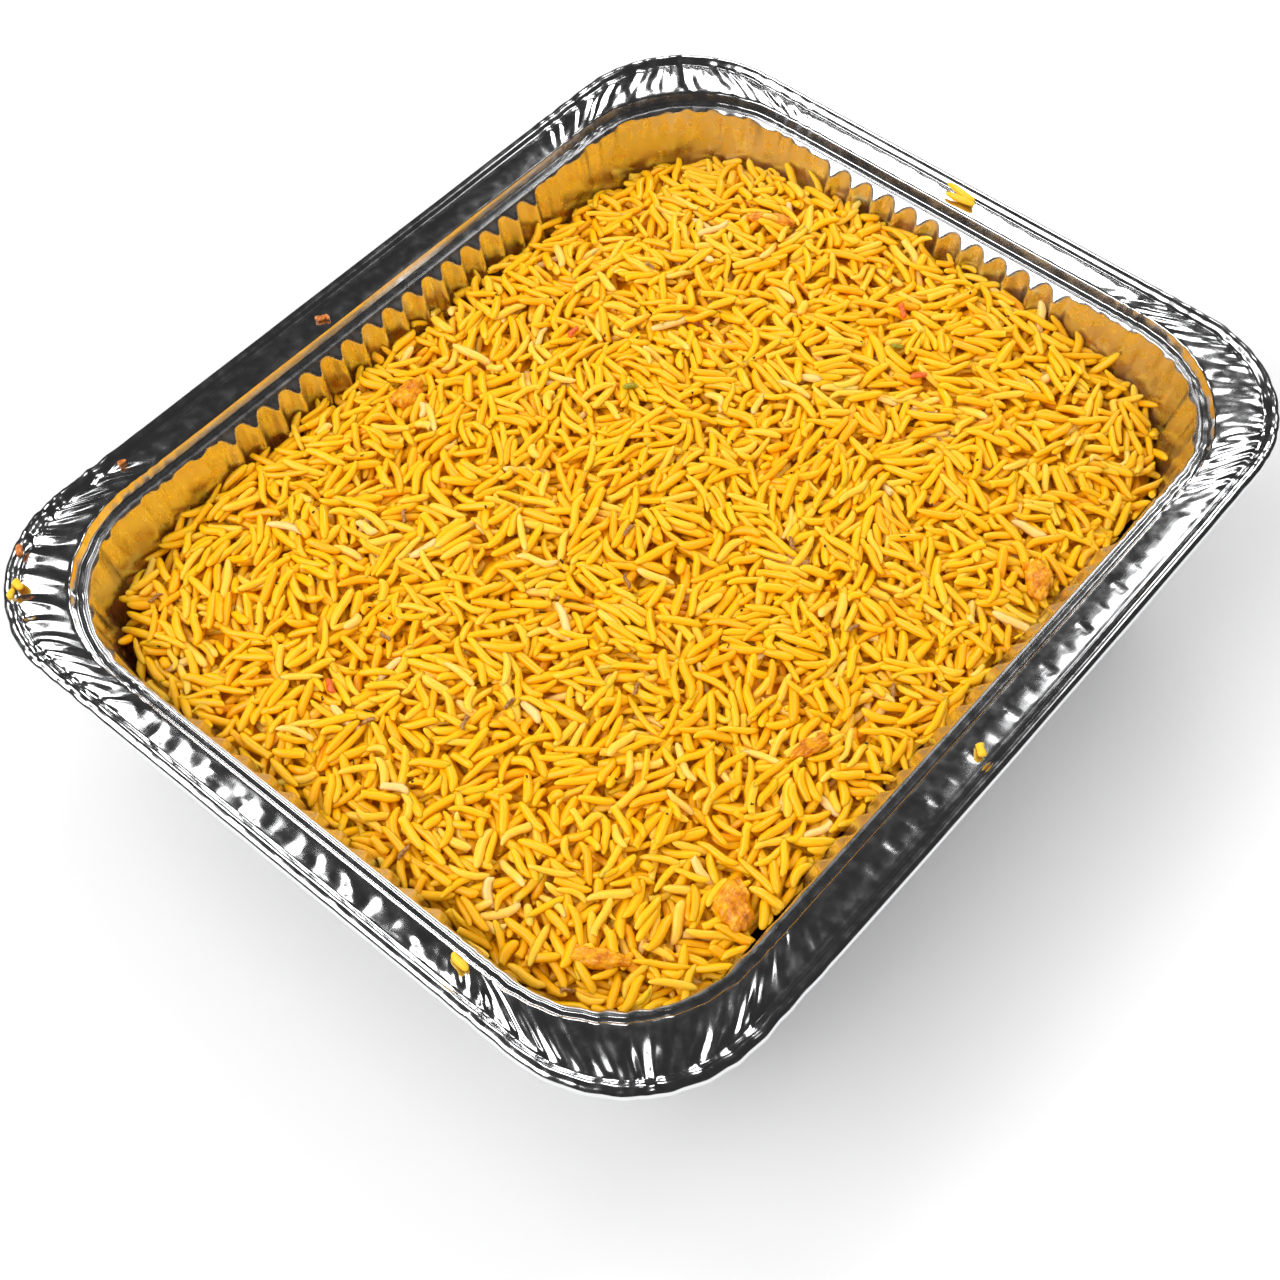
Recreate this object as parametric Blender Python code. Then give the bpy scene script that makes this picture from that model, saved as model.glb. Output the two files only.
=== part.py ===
"""A half-size foil tray full of yellow saffron rice, as it is carried out and served.

The tray is pressed from one sheet of foil: flat floor, sloping fluted walls, a narrow ledge, a flat
rim and an edge rolled into a bead. The rice is one heap with bumps of the size of its grains, and
six pieces of fried onion lie in its top. Lengths are in metres, +Z is up, and the origin is under
the middle of the tray, on the surface that it stands on.
"""

import math

import bmesh
import bpy
import numpy as np
from mathutils import Euler, Matrix, Vector, geometry
from mathutils.bvhtree import BVHTree

# Tray, outside
LENGTH = 0.324
WIDTH = 0.264
HEIGHT = 0.065
CORNER_R = 0.045
FOIL = 0.0004
FRONT_BOW = 0.0007

# Rim, as insets from the outer edge and heights
BEAD_R = 0.0021
BEAD_STEPS = 7
BEAD_TURN = (145.0, -180.0)
GROOVE_IN = 0.0048
FLANGE_IN = 0.0056
STEP_IN = 0.0127
LEDGE_OUT_IN = 0.0140
LEDGE_IN = 0.0174
FLANGE_Z = HEIGHT - 0.0006
GROOVE_Z = FLANGE_Z - 0.0004
LEDGE_Z = FLANGE_Z - 0.0030
PLEAT_DEPTH = 0.0003

# Inner outline: its corner radius, and how far it lies in on the long sides and off the middle
INNER_R = 0.047
LONG_SIDE_IN = 0.0013
OFF_MIDDLE = -0.0006

# Walls and floor
DRAFT = 0.255
BASE_CORNER_R = 0.029
FOOT_Z = 0.006
FLOOR_EDGE_IN = 0.0027
FILLET_IN = 0.0003
FILLET_Z = 0.0015
FLUTE_LOW_Z = 0.010
FLUTE_TOP_Z = LEDGE_Z - 0.0008
FLUTE_DEPTH = 0.0026
RIDGE_TOP_Z = FLUTE_TOP_Z - FLUTE_DEPTH
FLUTE_RECESS = 0.31
FLUTE_PITCH = (0.0089, 0.0090)
FLUTE_COUNT = (11, 16)

# Steps round the outline
ARC_STEPS = 10
STRAIGHT = (WIDTH / 2 - CORNER_R, LENGTH / 2 - CORNER_R)
FLUTE_END = tuple(p * n / 2 for p, n in zip(FLUTE_PITCH, FLUTE_COUNT))

# Rice: level at the middle, and how far it falls towards each side and corner
GAP = 0.0005
RICE_BASE_Z = FOIL + 0.0004
RICE_FOOT_Z = FOOT_Z + 0.0006
RICE_FOOT_IN = 0.0042
RICE_MID = 0.0535
SIDE_DROP = {"right": 0.0008, "back": 0.0045, "left": 0.0050, "front": 0.0045}
CORNER_DROP = {(1, 1): 0.0165, (-1, 1): 0.0075, (-1, -1): 0.0060, (1, -1): 0.0190}
HEAP_HALF = (0.139, 0.109)
SWELL = 0.0011
SWELL_LENGTHS = (0.083, 0.061)
SWELL_START = 0.6
EDGE_UNEVEN = (-0.0007, 0.0004)
FLUTE_FADE = 0.009
HEAP_EDGE_Z = 0.045
HEAP_MARGIN = 0.005
RICE_EDGE_STEP = 0.0062
RICE_ARC_STEPS = 6
GRAIN_LENGTH = 0.0118
GRAIN_RADIUS = 0.0014
GRAIN_GAP = 0.0040
VALLEY_GAP = 0.0038
RIDGE_RISE = 0.0011
VALLEY_FALL = 0.0014
UNEVEN = (0.5, 1.2)
SCATTER_TRIES = 5000
LOOSE_GRAINS = 60
LOOSE_EDGE = 0.013
LOOSE_LIFT = 0.45
LOOSE_TILT = 0.2

# Fried onion: place, length, width, thickness, turn in degrees
ONIONS = {
    "onion_1": (-0.0880, -0.0985, 0.0170, 0.0110, 0.0062, 50),
    "onion_2": (-0.1225, -0.0815, 0.0170, 0.0062, 0.0052, -60),
    "onion_3": (-0.0165, 0.0890, 0.0140, 0.0085, 0.0056, 4),
    "onion_4": (0.0515, -0.1000, 0.0160, 0.0090, 0.0056, 42),
    "onion_5": (-0.0380, -0.0855, 0.0135, 0.0058, 0.0046, -18),
    "onion_6": (0.1165, 0.0500, 0.0170, 0.0058, 0.0048, -63),
}
ONION_RISE = 0.18
PIT_IN = 0.72
PIT_OUT = (1.06, 0.0016)
PIT_GAP = 0.0005
PIT_POINTS = 10
ONION_CLEAR = 0.0035

# Spice seeds and bits of pepper in the top of the rice: place and turn in degrees
SEED = (0.0052, 0.00075)
SEEDS = (
    (-0.1340, -0.0230, 5), (-0.1340, -0.0810, -15), (-0.0950, -0.0090, 40), (-0.0820, -0.0140, 0),
    (-0.0560, -0.0380, 10), (-0.0290, -0.0115, 45), (-0.0155, -0.0005, -5), (0.0130, -0.0390, 60),
    (0.0005, -0.0710, -5), (-0.0070, -0.0910, 35), (-0.1185, 0.0930, -20), (-0.0525, 0.0555, 30),
    (-0.0875, 0.0290, 70), (-0.1105, 0.0125, -35), (0.0720, 0.0650, 60), (0.0735, -0.0485, 50),
)
BITS = ((-0.1095, 0.0290, 70), (0.1090, -0.0090, 40), (0.0960, -0.0165, -25), (0.0280, 0.0360, -30))
BIT = (0.0056, 0.0012)
SEED_LIFT = 0.3
SEED_CLEAR = GRAIN_LENGTH * 1.1

# Grains and seeds that fell on the rim: place, turn in degrees, length and radius
RIM_GRAINS = (
    (-0.1469, 0.1136, 70, 0.0042, 0.0013), (-0.1502, 0.1127, 40, 0.0034, 0.0011),
    (0.1557, 0.0030, 84, 0.0118, 0.0015), (0.1529, 0.0014, 98, 0.0108, 0.0015),
    (-0.1516, -0.0612, 76, 0.0064, 0.0014), (-0.0162, -0.1248, 25, 0.0044, 0.0016),
    (-0.0188, 0.1218, -55, 0.0048, 0.0011), (-0.1386, 0.1228, 60, 0.0042, 0.0012),
    (-0.0980, 0.1252, 10, 0.0030, 0.0009),
)
RIM_GRAIN_SINK = 0.0003

COLOURS = {
    "foil": ((0.80, 0.81, 0.83), 0.28, 1.0),
    "rice": ((0.86, 0.50, 0.045), 0.45, 0.0),
    "onion": ((0.62, 0.20, 0.02), 0.40, 0.0),
}


def clear_scene():
    """Remove whatever the file holds."""
    for obj in list(bpy.data.objects):
        bpy.data.objects.remove(obj, do_unlink=True)


def make_material(name, colour, roughness, metallic):
    """A plain Principled material."""
    material = bpy.data.materials.new(name)
    material.use_nodes = True
    shader = material.node_tree.nodes["Principled BSDF"]
    shader.inputs["Base Color"].default_value = (*colour, 1.0)
    shader.inputs["Roughness"].default_value = roughness
    shader.inputs["Metallic"].default_value = metallic
    return material


def make_object(name, points, faces, kind):
    """An object from points and faces, with its own material of one of the kinds in COLOURS."""
    mesh = bpy.data.meshes.new(name)
    mesh.from_pydata([tuple(p) for p in points], [], faces)
    mesh.materials.append(make_material(name, *COLOURS[kind]))
    obj = bpy.data.objects.new(name, mesh)
    bpy.context.scene.collection.objects.link(obj)
    return obj


def smoothstep(x):
    """0 below 0, 1 above 1, and an even S between."""
    x = min(max(x, 0.0), 1.0)
    return x * x * (3.0 - 2.0 * x)


def round_marks(side_marks, arc_steps):
    """Marks round an outline, anticlockwise, as (side, along, turn).

    Sides 0 to 3 face +X, +Y, -X and -Y. On a side, along is the distance from its middle and turn
    is None. On the corner that follows it, turn goes from 0 to 1.
    """
    marks = []
    for side in range(4):
        marks += [(side, along, None) for along in side_marks(side)]
        marks += [(side, None, step / arc_steps) for step in range(arc_steps + 1)]
    return marks


def plain_marks(side):
    """Five marks on each side, for the rows without flutes."""
    end = FLUTE_END[side % 2]
    return (-end, -end / 2, 0.0, end / 2, end)


def flute_marks(side, shares):
    """Marks at some shares of the pitch from the middle of each flute's ridge, and at both ends."""
    pitch, count, end = FLUTE_PITCH[side % 2], FLUTE_COUNT[side % 2], FLUTE_END[side % 2]
    middles = [-end + (index + 0.5) * pitch for index in range(count)]
    return [-end] + [middle + share * pitch for middle in middles for share in shares] + [end]


def fluted_marks(side):
    """Three marks on each flute: its ridge and the two edges of its recess."""
    return flute_marks(side, (-FLUTE_RECESS, 0.0, FLUTE_RECESS))


def halfway_marks(side):
    """Two marks on each flute, where it runs out into a smooth row."""
    return flute_marks(side, (-0.5, 0.0))[1:]


def even_marks(side):
    """Marks at an even step, for the edge of the rice."""
    count = round(2 * STRAIGHT[side % 2] / RICE_EDGE_STEP)
    return [(2 * (i + 1) / count - 1) * STRAIGHT[side % 2] for i in range(count - 1)]


def order_of(mark):
    """Where a mark comes on its way round, from 0 to 8."""
    side, along, turn = mark
    if turn is not None:
        return 2 * side + 1 + turn
    return 2 * side + (along / STRAIGHT[side % 2] + 1) / 2


def pressed_share(inset):
    """0 on the outer edge, 1 from the flange's inner edge inwards, and even between."""
    return min(max((inset - FLANGE_IN) / (STEP_IN - FLANGE_IN), 0.0), 1.0)


def outline_point(mark, inset, radius, z):
    """The point of a mark on a rounded rectangle.

    The outer edge bows out a little along the front. From the flange's inner edge inwards, the long
    sides lie further in, and all of it a little off the middle.
    """
    side, along, turn = mark
    pressed = pressed_share(inset)
    half = (LENGTH / 2 - inset, WIDTH / 2 - inset - LONG_SIDE_IN * pressed)
    if turn is None:
        normal = Vector((round(math.cos(side * math.pi / 2)), round(math.sin(side * math.pi / 2))))
        tangent = Vector((-normal.y, normal.x))
        end = FLUTE_END[side % 2]
        straight = half[1 - side % 2] - radius
        past = max(abs(along) - end, 0.0) * (straight - end) / (STRAIGHT[side % 2] - end)
        reach = math.copysign(min(abs(along), end) + past, along)
        point = normal * half[side % 2] + tangent * reach
    else:
        angle = (side + turn) * math.pi / 2
        middle = (side + 0.5) * math.pi / 2
        centre = Vector((math.copysign(half[0] - radius, math.cos(middle)),
                         math.copysign(half[1] - radius, math.sin(middle))))
        point = centre + radius * Vector((math.cos(angle), math.sin(angle)))
    if point.y < 0 and side == 3 and turn is None:
        bow = 1.0 - (point.x / (half[0] - radius)) ** 2
        point.y -= FRONT_BOW * max(bow, 0.0) * (1.0 - pressed)
    return Vector((point.x + OFF_MIDDLE * pressed, point.y, z))


def flute_height(mark):
    """How far a wall's flute stands in, from 0 in a recess to 1 on a ridge."""
    side, along, turn = mark
    if turn is not None or abs(along) >= FLUTE_END[side % 2]:
        return 0.0
    pitch = FLUTE_PITCH[side % 2]
    phase = ((along + FLUTE_END[side % 2]) / pitch) % 1.0
    away = abs(phase - 0.5)
    return max(1.0 - away / FLUTE_RECESS, 0.0)


def wall_inset(z):
    """Inset of the wall's inner face at a height, where it has no flute."""
    return LEDGE_IN + (LEDGE_Z - z) * DRAFT


def rim_radius(inset):
    """Radius of the rim's corners at an inset: the inner edge is rounder than the outer one."""
    if inset >= STEP_IN:
        return INNER_R - (inset - STEP_IN)
    outer = CORNER_R - min(inset, FLANGE_IN)
    return outer + (INNER_R - outer) * pressed_share(inset)


def wall_radius(z):
    """Radius of the wall's corners at a height."""
    return BASE_CORNER_R + (rim_radius(LEDGE_IN) - BASE_CORNER_R) * z / LEDGE_Z


def pleat_shift(mark):
    """Up and down by turns round each corner, where the rim's foil is gathered."""
    turn = mark[2]
    if turn is None:
        return 0.0
    sign = 1.0 if round(turn * ARC_STEPS) % 2 else -1.0
    return sign * PLEAT_DEPTH * math.sin(math.pi * turn)


def rim_row(marks, inset, z, pleated=False):
    """A row of the rim."""
    points = []
    for mark in marks:
        lift = pleat_shift(mark) if pleated else 0.0
        points.append(outline_point(mark, inset, rim_radius(inset), z) + Vector((0, 0, lift)))
    return points


def wall_row(marks, z, out=0.0, fluted=0.0, extra=0.0):
    """A row of the wall, moved out by the foil, with its flutes to a share of their depth."""
    points = []
    for mark in marks:
        inset = wall_inset(z) + extra - out + FLUTE_DEPTH * fluted * flute_height(mark)
        points.append(outline_point(mark, inset, wall_radius(z) + out * 0.5, z))
    return points


def tray_rows():
    """The tray's section from the floor's edge up and over the bead, and back down its underside."""
    plain = round_marks(plain_marks, ARC_STEPS)
    fluted = round_marks(fluted_marks, ARC_STEPS)
    halfway = round_marks(halfway_marks, ARC_STEPS)
    rows = [
        (plain, wall_row(plain, FOIL, extra=FLOOR_EDGE_IN)),
        (plain, wall_row(plain, FOIL + FILLET_Z, extra=FILLET_IN)),
        (halfway, wall_row(halfway, FOOT_Z)),
        (fluted, wall_row(fluted, FLUTE_LOW_Z, fluted=1.0)),
        (fluted, wall_row(fluted, RIDGE_TOP_Z, fluted=1.0)),
        (halfway, wall_row(halfway, FLUTE_TOP_Z)),
        (plain, rim_row(plain, LEDGE_IN, LEDGE_Z)),
        (plain, rim_row(plain, LEDGE_OUT_IN, LEDGE_Z)),
        (plain, rim_row(plain, STEP_IN, FLANGE_Z, pleated=True)),
        (plain, rim_row(plain, FLANGE_IN, FLANGE_Z, pleated=True)),
        (plain, rim_row(plain, GROOVE_IN, GROOVE_Z)),
    ]
    for step in range(BEAD_STEPS + 1):
        angle = math.radians(BEAD_TURN[0] + (BEAD_TURN[1] - BEAD_TURN[0]) * step / BEAD_STEPS)
        inset = BEAD_R * (1 - math.cos(angle))
        rows.append((plain, rim_row(plain, inset, HEIGHT - BEAD_R * (1 - math.sin(angle)))))
    rows += [
        (plain, rim_row(plain, FLANGE_IN, FLANGE_Z - FOIL, pleated=True)),
        (plain, rim_row(plain, STEP_IN - FOIL, FLANGE_Z - FOIL, pleated=True)),
        (plain, rim_row(plain, LEDGE_OUT_IN - FOIL, LEDGE_Z - FOIL)),
        (plain, rim_row(plain, LEDGE_IN - FOIL, LEDGE_Z - FOIL)),
        (halfway, wall_row(halfway, FLUTE_TOP_Z - FOIL, out=FOIL)),
        (fluted, wall_row(fluted, RIDGE_TOP_Z - FOIL / 2, out=FOIL, fluted=1.0)),
        (fluted, wall_row(fluted, FLUTE_LOW_Z, out=FOIL, fluted=1.0)),
        (halfway, wall_row(halfway, FOOT_Z, out=FOIL)),
        (plain, wall_row(plain, FILLET_Z, extra=FILLET_IN, out=FOIL)),
        (plain, wall_row(plain, 0.0, extra=FLOOR_EDGE_IN)),
    ]
    return rows


def stitch(faces, first, first_marks, second, second_marks):
    """Triangles between two closed rows of any number of marks, taken in their order round.

    Where both rows come to a mark at once, the row with more marks goes first, so that the inside
    and the underside of the foil are cut into triangles alike.
    """
    n, m = len(first_marks), len(second_marks)
    a = [order_of(mark) for mark in first_marks] + [order_of(first_marks[0]) + 8]
    b = [order_of(mark) for mark in second_marks] + [order_of(second_marks[0]) + 8]
    lead = 1e-9 if n >= m else -1e-9
    i = j = 0
    while i < n or j < m:
        if j == m or (i < n and a[i + 1] < b[j + 1] + lead):
            faces.append((first + i, second + j % m, first + (i + 1) % n))
            i += 1
        else:
            faces.append((first + i % n, second + j, second + (j + 1) % m))
            j += 1


def skin_rows(rows, first_middle, last_middle):
    """Points and faces of the closed skin through the rows, with a middle point at both ends."""
    points, starts, faces = [], [], []
    for marks, row in rows:
        starts.append(len(points))
        points += row
    for k in range(len(rows) - 1):
        stitch(faces, starts[k], rows[k][0], starts[k + 1], rows[k + 1][0])
    if first_middle is not None:
        points.append(first_middle)
        n = len(rows[0][0])
        faces += [(len(points) - 1, starts[0] + i, starts[0] + (i + 1) % n) for i in range(n)]
    points.append(last_middle)
    n = len(rows[-1][0])
    faces += [(len(points) - 1, starts[-1] + (i + 1) % n, starts[-1] + i) for i in range(n)]
    return points, faces


def make_tray():
    """The foil tray as one closed shell."""
    points, faces = skin_rows(tray_rows(), Vector((0, 0, FOIL)), Vector((0, 0, 0)))
    return make_object("tray", points, faces, "foil")


def rice_level(x, y):
    """Height of the heap at a place, without its bumps."""
    u, v = x / HEAP_HALF[0], y / HEAP_HALF[1]
    z = RICE_MID - SIDE_DROP["right" if u > 0 else "left"] * abs(u) ** 4
    z -= SIDE_DROP["back" if v > 0 else "front"] * abs(v) ** 4
    z -= CORNER_DROP[(1 if u > 0 else -1, 1 if v > 0 else -1)] * abs(u * v) ** 3
    along = math.cos(2 * math.pi * x / SWELL_LENGTHS[0] + SWELL_START)
    across = math.cos(2 * math.pi * y / SWELL_LENGTHS[1])
    return z + SWELL * along * across


def flute_zone(mark):
    """1 beside the fluted part of a wall, 0 where the wall is smooth."""
    side, along, turn = mark
    if turn is not None:
        return 0.0
    return 1.0 - smoothstep((abs(along) - FLUTE_END[side % 2]) / FLUTE_FADE)


def rice_edge_row(marks, rng):
    """The edge of the heap's top, where it leans on the wall."""
    points = []
    for mark in marks:
        z = RICE_MID
        for _ in range(3):
            inset = wall_inset(z) + GAP + FLUTE_DEPTH * flute_zone(mark)
            point = outline_point(mark, inset, wall_radius(z), z)
            z = rice_level(point.x, point.y)
        point.z = z + rng.uniform(*EDGE_UNEVEN)
        points.append(point)
    return points


def rice_wall_row(marks, z, extra):
    """A row of the heap's side, below its edge."""
    points = []
    for mark in marks:
        inset = wall_inset(z) + GAP + extra + FLUTE_DEPTH * flute_zone(mark)
        points.append(outline_point(mark, inset, wall_radius(z), z))
    return points


def onion_centre(name):
    """Middle of an onion piece, sunk a little into the heap."""
    x, y, _, _, thick, _ = ONIONS[name]
    return Vector((x, y, rice_level(x, y) + thick * ONION_RISE))


def onion_ring(name, share, margin):
    """Points on the outline of an onion piece, seen from above, at a share of its size."""
    x, y, length, width, _, turn = ONIONS[name]
    spin = Matrix.Rotation(math.radians(turn), 2)
    ring = []
    for step in range(PIT_POINTS):
        angle = 2 * math.pi * step / PIT_POINTS
        local = Vector(((length / 2 * share + margin) * math.cos(angle),
                        (width / 2 * share + margin) * math.sin(angle)))
        ring.append(Vector((x, y)) + spin @ local)
    return ring


def pit_points():
    """The heap's points under and round each onion piece: a flat bed and the edge of its pit."""
    points = []
    for name, (x, y, _, _, thick, _) in ONIONS.items():
        floor = onion_centre(name).z - thick / 2 - PIT_GAP
        points += [(p.x, p.y, floor) for p in onion_ring(name, PIT_IN, 0.0)]
        points += [(p.x, p.y, rice_level(p.x, p.y) - PIT_GAP) for p in onion_ring(name, *PIT_OUT)]
        points.append((x, y, floor))
    return np.array(points)


def scatter_ridges(rng, edge, pits):
    """Places of the grain-sized ridges, two ends each, kept apart from each other and the pits."""
    low, high = edge.min(axis=0), edge.max(axis=0)
    taken = np.vstack([edge[:, :2], pits[:, :2]])
    ends = []
    for _ in range(SCATTER_TRIES):
        middle = np.array([rng.uniform(low[k], high[k]) for k in (0, 1)])
        turn = rng.uniform(0, math.pi)
        half = GRAIN_LENGTH / 2 * rng.uniform(0.7, 1.0) * np.array([math.cos(turn), math.sin(turn)])
        trio = np.array([middle - half, middle, middle + half])
        apart = np.linalg.norm(taken[None] - trio[:, None], axis=2).min()
        if apart < GRAIN_GAP or not all(in_heap(p) for p in trio) or any(in_pit(p) for p in trio):
            continue
        taken = np.vstack([taken, trio])
        ends.append((trio[0], trio[2]))
    return ends, taken


def in_heap(point):
    """Whether a place is inside the heap's edge, with a small margin."""
    inset = wall_inset(HEAP_EDGE_Z) + HEAP_MARGIN
    half = (LENGTH / 2 - inset, WIDTH / 2 - inset - LONG_SIDE_IN)
    radius = wall_radius(HEAP_EDGE_Z)
    x, y = abs(point[0] - OFF_MIDDLE) - (half[0] - radius), abs(point[1]) - (half[1] - radius)
    return math.hypot(max(x, 0.0), max(y, 0.0)) < radius


def in_pit(point):
    """Whether a place is on or close beside an onion piece."""
    for x, y, length, width, _, turn in ONIONS.values():
        local = Matrix.Rotation(-math.radians(turn), 2) @ Vector((point[0] - x, point[1] - y))
        if math.hypot(local.x / (length / 2 + ONION_CLEAR), local.y / (width / 2 + ONION_CLEAR)) < 1.0:
            return True
    return False


def fill_valleys(rng, edge, taken):
    """Places of the low points between the ridges."""
    low, high = edge.min(axis=0), edge.max(axis=0)
    valleys = []
    for _ in range(SCATTER_TRIES):
        place = np.array([rng.uniform(low[k], high[k]) for k in (0, 1)])
        if np.linalg.norm(taken - place, axis=1).min() < VALLEY_GAP:
            continue
        if in_heap(place) and not in_pit(place):
            taken = np.vstack([taken, place])
            valleys.append(place)
    return valleys


def rice_net(edge, rng):
    """The heap's top as a net of triangles: its edge, the pits, grain-sized ridges and valleys."""
    pits = pit_points()
    edge_array = np.array([tuple(p) for p in edge])
    ends, taken = scatter_ridges(rng, edge_array, pits)
    valleys = fill_valleys(rng, edge_array, taken)
    ridge = [(x, y, rice_level(x, y) + RIDGE_RISE * rng.uniform(*UNEVEN)) for pair in ends for x, y in pair]
    valley = [(x, y, rice_level(x, y) - VALLEY_FALL * rng.uniform(*UNEVEN)) for x, y in valleys]
    top = [tuple(p) for p in edge] + [tuple(p) for p in pits] + ridge + valley
    first_ridge = len(edge) + len(pits)
    ridge_edges = [(first_ridge + 2 * i, first_ridge + 2 * i + 1) for i in range(len(ends))]
    flat = [Vector(p[:2]) for p in top]
    net = geometry.delaunay_2d_cdt(flat, ridge_edges, [list(range(len(edge)))], 1, 1e-7)
    place = [origin[0] for origin in net[3]]
    return top, [tuple(place[i] for i in face) for face in net[2]]


def make_rice():
    """The heap: a bumpy top laid out as a triangle net, its side along the wall, and a flat base."""
    rng = np.random.default_rng(11)
    marks = round_marks(even_marks, RICE_ARC_STEPS)
    low = round_marks(plain_marks, RICE_ARC_STEPS)
    edge = rice_edge_row(marks, rng)
    top, faces = rice_net(edge, rng)
    rows = [(marks, edge),
            (low, rice_wall_row(low, RICE_FOOT_Z, 0.0)),
            (low, rice_wall_row(low, RICE_BASE_Z, RICE_FOOT_IN))]
    side_points, side_faces = skin_rows(rows, None, Vector((0, 0, RICE_BASE_Z)))
    extra = len(top) - len(edge)
    shift = [i if i < len(edge) else i + extra for i in range(len(side_points))]
    faces += [tuple(shift[i] for i in face) for face in side_faces]
    points = top + [tuple(p) for p in side_points[len(edge):]]
    return make_object("rice", points, faces, "rice")


def make_onion(name, seed):
    """A lumpy, flattened piece of fried onion."""
    rng = np.random.default_rng(seed)
    _, _, length, width, thick, turn = ONIONS[name]
    shape = bmesh.new()
    bmesh.ops.create_icosphere(shape, subdivisions=2, radius=1.0)
    for vert in shape.verts:
        lump = 0.92 + 0.08 * math.sin(5 * vert.co.x + 4 * vert.co.y + seed) + rng.uniform(-0.05, 0.05)
        vert.co = Vector((vert.co.x * length / 2, vert.co.y * width / 2, vert.co.z * thick / 2)) * lump
    shape.transform(Matrix.Translation(onion_centre(name)) @ Matrix.Rotation(math.radians(turn), 4, "Z"))
    mesh = bpy.data.meshes.new(name)
    shape.to_mesh(mesh)
    shape.free()
    mesh.materials.append(make_material(name, *COLOURS["onion"]))
    obj = bpy.data.objects.new(name, mesh)
    bpy.context.scene.collection.objects.link(obj)
    return obj


def make_seed(collection, centre, turn, tilt, length, radius):
    """A small pointed solid that will be fused to what it lies on."""
    shape = bmesh.new()
    bmesh.ops.create_uvsphere(shape, u_segments=6, v_segments=4, radius=1.0)
    size = Matrix.Diagonal((radius, radius, length / 2, 1.0))
    lay = Matrix.Rotation(math.pi / 2, 4, "Y")
    turned = Euler((0.0, tilt, math.radians(turn))).to_matrix().to_4x4()
    shape.transform(Matrix.Translation(centre) @ turned @ lay @ size)
    mesh = bpy.data.meshes.new("grain")
    shape.to_mesh(mesh)
    shape.free()
    collection.objects.link(bpy.data.objects.new("grain", mesh))


def fuse(obj, collection):
    """Join a collection's solids to an object, and remove them."""
    union = obj.modifiers.new("fused", "BOOLEAN")
    union.operation = "UNION"
    union.operand_type = "COLLECTION"
    union.collection = collection
    union.solver = "EXACT"
    bpy.context.view_layer.update()
    done = bpy.data.meshes.new_from_object(obj.evaluated_get(bpy.context.evaluated_depsgraph_get()))
    obj.modifiers.clear()
    obj.data = done
    for part in list(collection.objects):
        bpy.data.objects.remove(part, do_unlink=True)
    bpy.data.collections.remove(collection)


def new_collection(name):
    """A collection in the scene, for solids that are about to be fused."""
    collection = bpy.data.collections.new(name)
    bpy.context.scene.collection.children.link(collection)
    return collection


def surface_height(tree, x, y):
    """Height of a surface under a place."""
    hit = tree.ray_cast(Vector((x, y, 1.0)), Vector((0, 0, -1)))
    return hit[0].z


def dress_rice(rice):
    """Fuse the spice seeds, the bits of pepper and the loose grains to the top of the heap."""
    rng = np.random.default_rng(5)
    shape = bmesh.new()
    shape.from_mesh(rice.data)
    tree = BVHTree.FromBMesh(shape)
    collection = new_collection("rice_top")
    for places, (length, radius) in ((SEEDS, SEED), (BITS, BIT)):
        for x, y, turn in places:
            centre = Vector((x, y, surface_height(tree, x, y) + radius * SEED_LIFT))
            make_seed(collection, centre, turn, 0.0, length, radius)
    made = 0
    while made < LOOSE_GRAINS:
        x, y = rng.uniform(-0.125, 0.125), rng.uniform(-0.095, 0.095)
        if in_pit((x, y)) or not in_heap((abs(x) + LOOSE_EDGE, abs(y) + LOOSE_EDGE)) or near_seed(x, y):
            continue
        centre = Vector((x, y, surface_height(tree, x, y) + GRAIN_RADIUS * LOOSE_LIFT))
        tilt = rng.uniform(-LOOSE_TILT, LOOSE_TILT)
        make_seed(collection, centre, rng.uniform(0, 180), tilt, GRAIN_LENGTH, GRAIN_RADIUS)
        made += 1
    shape.free()
    fuse(rice, collection)


def near_seed(x, y):
    """Whether a place is within a grain's length of a seed, a bit or an onion piece."""
    fixed = [p[:2] for p in SEEDS + BITS] + [p[:2] for p in ONIONS.values()]
    return min(math.hypot(x - a, y - b) for a, b in fixed) < SEED_CLEAR


def dress_rim(tray):
    """Fuse the fallen grains and seeds to the rim."""
    shape = bmesh.new()
    shape.from_mesh(tray.data)
    tree = BVHTree.FromBMesh(shape)
    collection = new_collection("rim_grains")
    for x, y, turn, length, radius in RIM_GRAINS:
        centre = Vector((x, y, surface_height(tree, x, y) + radius - RIM_GRAIN_SINK))
        make_seed(collection, centre, turn, 0.0, length, radius)
    shape.free()
    fuse(tray, collection)


def main():
    """Build the tray, the rice and the onion pieces."""
    clear_scene()
    tray = make_tray()
    dress_rim(tray)
    rice = make_rice()
    dress_rice(rice)
    for seed, name in enumerate(ONIONS, start=1):
        make_onion(name, seed)
    for obj in bpy.context.scene.objects:
        obj.data.shade_smooth()
        obj.data.set_sharp_from_angle(angle=math.radians(30))


main()
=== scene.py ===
"""Looks of a half-size foil tray of yellow saffron rice: bright wrinkled foil, thousands of loose
basmati grains over a golden core, fried onion, cumin seeds, pepper, and the grains on the rim.

Lengths are in metres. The outline, wall and rice level repeat the named values that the solid model
was built from, so every new piece lies where its solid does.
"""

import math

import bpy
import numpy as np
from mathutils import Matrix, Vector


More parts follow.
